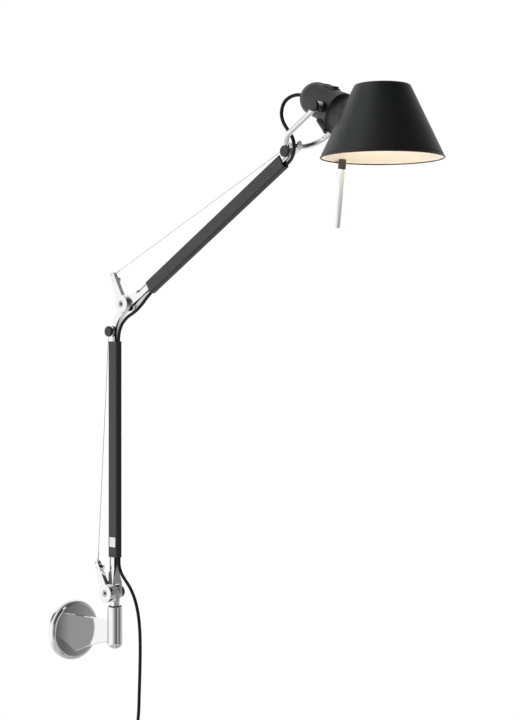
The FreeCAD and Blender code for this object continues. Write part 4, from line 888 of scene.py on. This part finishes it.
# %% Black outside and white inside
BLACK_LIP = 2.2                         # how far the black coat wraps up inside the rim
spun = material("black_shade_coat", (0.0165, 0.017, 0.0172), 0.42, Specular_IOR_Level=0.5)
tint(spun, noise(spun, 45, 2), (0.015, 0.0155, 0.0157), (0.018, 0.0185, 0.0187))
vary(spun, noise(spun, 1500, 2), "Roughness", 0.38, 0.47)
relief(spun, noise(spun, 60, 1, stretch=(0.2, 0.2, 9)), 0.00003, 0.3)
white_inside = material("white_reflector_coat", (0.84, 0.82, 0.78), 0.5)
vary(white_inside, noise(white_inside, 900, 2), "Roughness", 0.42, 0.58)
relief(white_inside, noise(white_inside, 2200, 2), 0.00002, 0.3)
wear("spun_shade", finish=spun)
spun_shade.data.materials.append(white_inside)
inner_faces = 0
for face in spun_shade.data.polygons:
    out = face.center - Vector(shade_axis) / 1000
    across = Vector((out.x, out.y, 0))
    looks_in = face.normal.dot(across) < -0.05 * across.length or (face.normal.z < -0.6 and out.z > 0)
    if looks_in and face.center.z > (RIM_Z + BLACK_LIP) / 1000:
        face.material_index = 1
        inner_faces += 1
print(f"shade: {inner_faces} of {len(spun_shade.data.polygons)} faces are white")

# %% [markdown]
# ### The lamp inside
# A white heat-proof holder grips a bulb with a nickel cap. The bulb's opal glass glows warm, and it is what
# lights the shade's inside.

# %% Holder, cap and glowing glass
porcelain = material("white_holder", (0.8, 0.79, 0.76), 0.35)
vary(porcelain, noise(porcelain, 300, 2), "Roughness", 0.28, 0.42)
wear("lamp_holder", finish=porcelain)
nickel = material("nickel_cap", (0.7, 0.67, 0.6), 0.25, metallic=1.0)
vary(nickel, noise(nickel, 500, 2), "Roughness", 0.18, 0.34)
wear("bulb_cap", finish=nickel)
opal = material("opal_glass", (0.95, 0.9, 0.8), 0.3)
opal.node_tree.nodes["Principled BSDF"].inputs["Emission Color"].default_value = (1.0, 0.84, 0.62, 1)
vary(opal, noise(opal, 40, 2), "Emission Strength", 7.8, 8.8)
wear("bulb", finish=opal)

# %% Paper of the label, and metal on the plug's pins
paper_white = material("white_paper", (0.93, 0.93, 0.92), 0.6)
tint(paper_white, noise(paper_white, 400, 2), (0.91, 0.91, 0.9), (0.95, 0.95, 0.94))
wear("blank_label", finish=paper_white)
PIN_LENGTH = 0.0188                     # metres
plug_mesh = NODES["plug"].data
plug_mesh.materials.append(nickel)
pin_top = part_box("plug")[0].z + PIN_LENGTH
for face in plug_mesh.polygons:
    if face.center.z < pin_top:
        face.material_index = 1

# %% [markdown]
# ## Light and surroundings
# The lamp was photographed in a white studio and cut out on white. Polished metal shows nothing but its
# surroundings, so those are drawn in the world: white all round, with a dark gap beside the camera, a grey
# side to the right, and a dimmer floor. The camera sees plain white. A large soft lamp on the left gives the
# black faces their light and dark sides.

# %% The studio in the world
STUDIO_LIGHT = 0.6                      # what the world adds to rough surfaces
LAMP_MIDDLE = mm(0, -110, 470)
TO_CAMERA = (camera.location - LAMP_MIDDLE).xy.normalized()
world = bpy.data.worlds.new("studio")
bpy.context.scene.world = world
world.use_nodes = True
world.node_tree.nodes.clear()
link = world.node_tree.links.new


def ramp_of(stops):
    """A ramp of greys from (position, grey) pairs."""
    ramp = node(world, "ShaderNodeValToRGB")
    line = ramp.color_ramp.elements
    while len(line) < len(stops):
        line.new(1)
    for stop, (place, grey) in zip(line, stops):
        stop.position, stop.color = place, (grey, grey, grey, 1)
    return ramp


# %% Azimuth from the camera, to the right, and height
direction = node(world, "ShaderNodeTexCoord")
to_front = -math.atan2(TO_CAMERA.y, TO_CAMERA.x)
turn = node(world, "ShaderNodeVectorRotate", rotation_type="Z_AXIS", Angle=to_front)
link(direction.outputs["Generated"], turn.inputs["Vector"])
split_way = node(world, "ShaderNodeSeparateXYZ")
link(turn.outputs["Vector"], split_way.inputs["Vector"])
azimuth = node(world, "ShaderNodeMath", operation="ARCTAN2")
link(split_way.outputs["Y"], azimuth.inputs[0])
link(split_way.outputs["X"], azimuth.inputs[1])
share = node(world, "ShaderNodeMapRange", From_Min=-math.pi, From_Max=math.pi)
link(azimuth.outputs["Value"], share.inputs["Value"])


def round_the_room(stops):
    """A ramp of greys by degrees to the right of the camera."""
    ramp = ramp_of([(0.5 + degrees / 360, grey) for degrees, grey in stops])
    link(share.outputs["Result"], ramp.inputs["Fac"])
    return ramp.outputs["Color"]


def blend_up(from_z, to_z, below, above):
    """Mix two colours by the height of the direction."""
    span = node(world, "ShaderNodeMapRange", interpolation_type="SMOOTHSTEP", From_Min=from_z, From_Max=to_z)
    link(split_way.outputs["Z"], span.inputs["Value"])
    mixed = node(world, "ShaderNodeMix", data_type="RGBA")
    link(span.outputs["Result"], mixed.inputs["Factor"])
    link(below, mixed.inputs["A"])
    link(above, mixed.inputs["B"])
    return mixed.outputs["Result"]


OVERHEAD, GROUND_TONE = 0.3, 0.6
level = round_the_room((
    (-180, 0.95), (-46, 1.0), (-28, 0.6), (-12, 0.34), (3, 0.33), (6, 0.08), (26, 0.08), (34, 0.5),
    (52, 0.55), (60, 0.12), (76, 0.12), (86, 0.42), (112, 0.42), (128, 0.6), (146, 0.95), (180, 0.95)))
high_up = round_the_room((
    (-180, 0.95), (-124, 0.95), (-118, 0.2), (-104, 0.2), (-98, 1.0), (-66, 0.9), (-44, 0.4), (-24, 0.1),
    (0, 0.05), (60, 0.06), (84, 0.14), (112, 0.28), (132, 0.6), (152, 0.95), (180, 0.95)))
overhead, ground_tone = (ramp_of([(0, grey), (1, grey)]).outputs["Color"] for grey in (OVERHEAD, GROUND_TONE))
walls = blend_up(0.12, 0.42, blend_up(-0.85, -0.45, ground_tone, level), high_up)
studio = blend_up(0.85, 0.97, walls, overhead)

# %% What each kind of ray meets
ray = node(world, "ShaderNodeLightPath")
plain = node(world, "ShaderNodeBackground", Strength=STUDIO_LIGHT)
link(studio, plain.inputs["Color"])
mirrored = node(world, "ShaderNodeBackground", Strength=1.0)
link(studio, mirrored.inputs["Color"])
white = node(world, "ShaderNodeBackground", Color=(1, 1, 1, 1), Strength=1.0)
see_studio = node(world, "ShaderNodeMixShader")
see_white = node(world, "ShaderNodeMixShader")
clear = node(world, "ShaderNodeMath", operation="MAXIMUM")
link(ray.outputs["Is Camera Ray"], clear.inputs[0])
link(ray.outputs["Is Transmission Ray"], clear.inputs[1])
link(ray.outputs["Is Glossy Ray"], see_studio.inputs["Fac"])
link(plain.outputs["Background"], see_studio.inputs[1])
link(mirrored.outputs["Background"], see_studio.inputs[2])
link(clear.outputs["Value"], see_white.inputs["Fac"])
link(see_studio.outputs["Shader"], see_white.inputs[1])
link(white.outputs["Background"], see_white.inputs[2])
output = node(world, "ShaderNodeOutputWorld")
link(see_white.outputs["Shader"], output.inputs["Surface"])
bpy.context.scene.view_settings.view_transform = "Standard"

# %% [markdown]
# The floor is pale and keeps the lamp's shadow. Towards its rim it turns clear, so that the white behind it
# takes over and no edge shows.

# %% Floor
FLOOR_DROP = 0.03                       # how far it is below the plug
FLOOR_Y, FLOOR_R = -0.4, 1.0
FADE_FROM, FADE_TO = 0.3, 0.95
FLOOR_WHITE = 0.8                       # how much of the floor, as the camera sees it, is plain white
floor_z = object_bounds()[0].z - FLOOR_DROP
bm = bmesh.new()
bmesh.ops.create_circle(bm, cap_ends=True, segments=96, radius=FLOOR_R)
floor = mesh_object("floor", bm)
floor.location = (0, FLOOR_Y, floor_z)
ground = material("pale_floor", (0.9, 0.9, 0.9), 0.8)
place = node(ground, "ShaderNodeTexCoord")
far = node(ground, "ShaderNodeVectorMath", operation="LENGTH")
fade = node(ground, "ShaderNodeMapRange", interpolation_type="SMOOTHSTEP",
            From_Min=FADE_FROM, From_Max=FADE_TO)
sight = node(ground, "ShaderNodeLightPath")
share_white = node(ground, "ShaderNodeMath", operation="MULTIPLY")
share_white.inputs[1].default_value = FLOOR_WHITE
pale = node(ground, "ShaderNodeEmission", Color=(1, 1, 1, 1), Strength=1.0)
seen = node(ground, "ShaderNodeMixShader")
clear_rim = node(ground, "ShaderNodeBsdfTransparent")
mixed = node(ground, "ShaderNodeMixShader")
join = ground.node_tree.links.new
join(sight.outputs["Is Camera Ray"], share_white.inputs[0])
join(share_white.outputs["Value"], seen.inputs["Fac"])
join(ground.node_tree.nodes["Principled BSDF"].outputs["BSDF"], seen.inputs[1])
join(pale.outputs["Emission"], seen.inputs[2])
join(place.outputs["Object"], far.inputs[0])
join(far.outputs["Value"], fade.inputs["Value"])
join(fade.outputs["Result"], mixed.inputs["Fac"])
join(seen.outputs["Shader"], mixed.inputs[1])
join(clear_rim.outputs["BSDF"], mixed.inputs[2])
join(mixed.outputs["Shader"], ground.node_tree.nodes["Material Output"].inputs["Surface"])
floor.data.materials.append(ground)

# %% Soft lamps
def soft_lamp(name, place, aim, size, watts):
    """A square lamp that lights the object but isn't mirrored in it: the studio's white does that."""
    lamp = bpy.data.objects.new(name, bpy.data.lights.new(name, "AREA"))
    bpy.context.scene.collection.objects.link(lamp)
    lamp.data.size, lamp.data.energy = size, watts
    lamp.visible_glossy = False
    lamp.location = place
    lamp.rotation_euler = (Vector(aim) - Vector(place)).to_track_quat("-Z", "Y").to_euler()


AIM = (0, -0.35, 0.45)
soft_lamp("left_lamp", (-2.5, 0.7, 1.0), AIM, 1.6, 40)
soft_lamp("top_lamp", (-0.9, 0.3, 2.4), AIM, 1.4, 8)
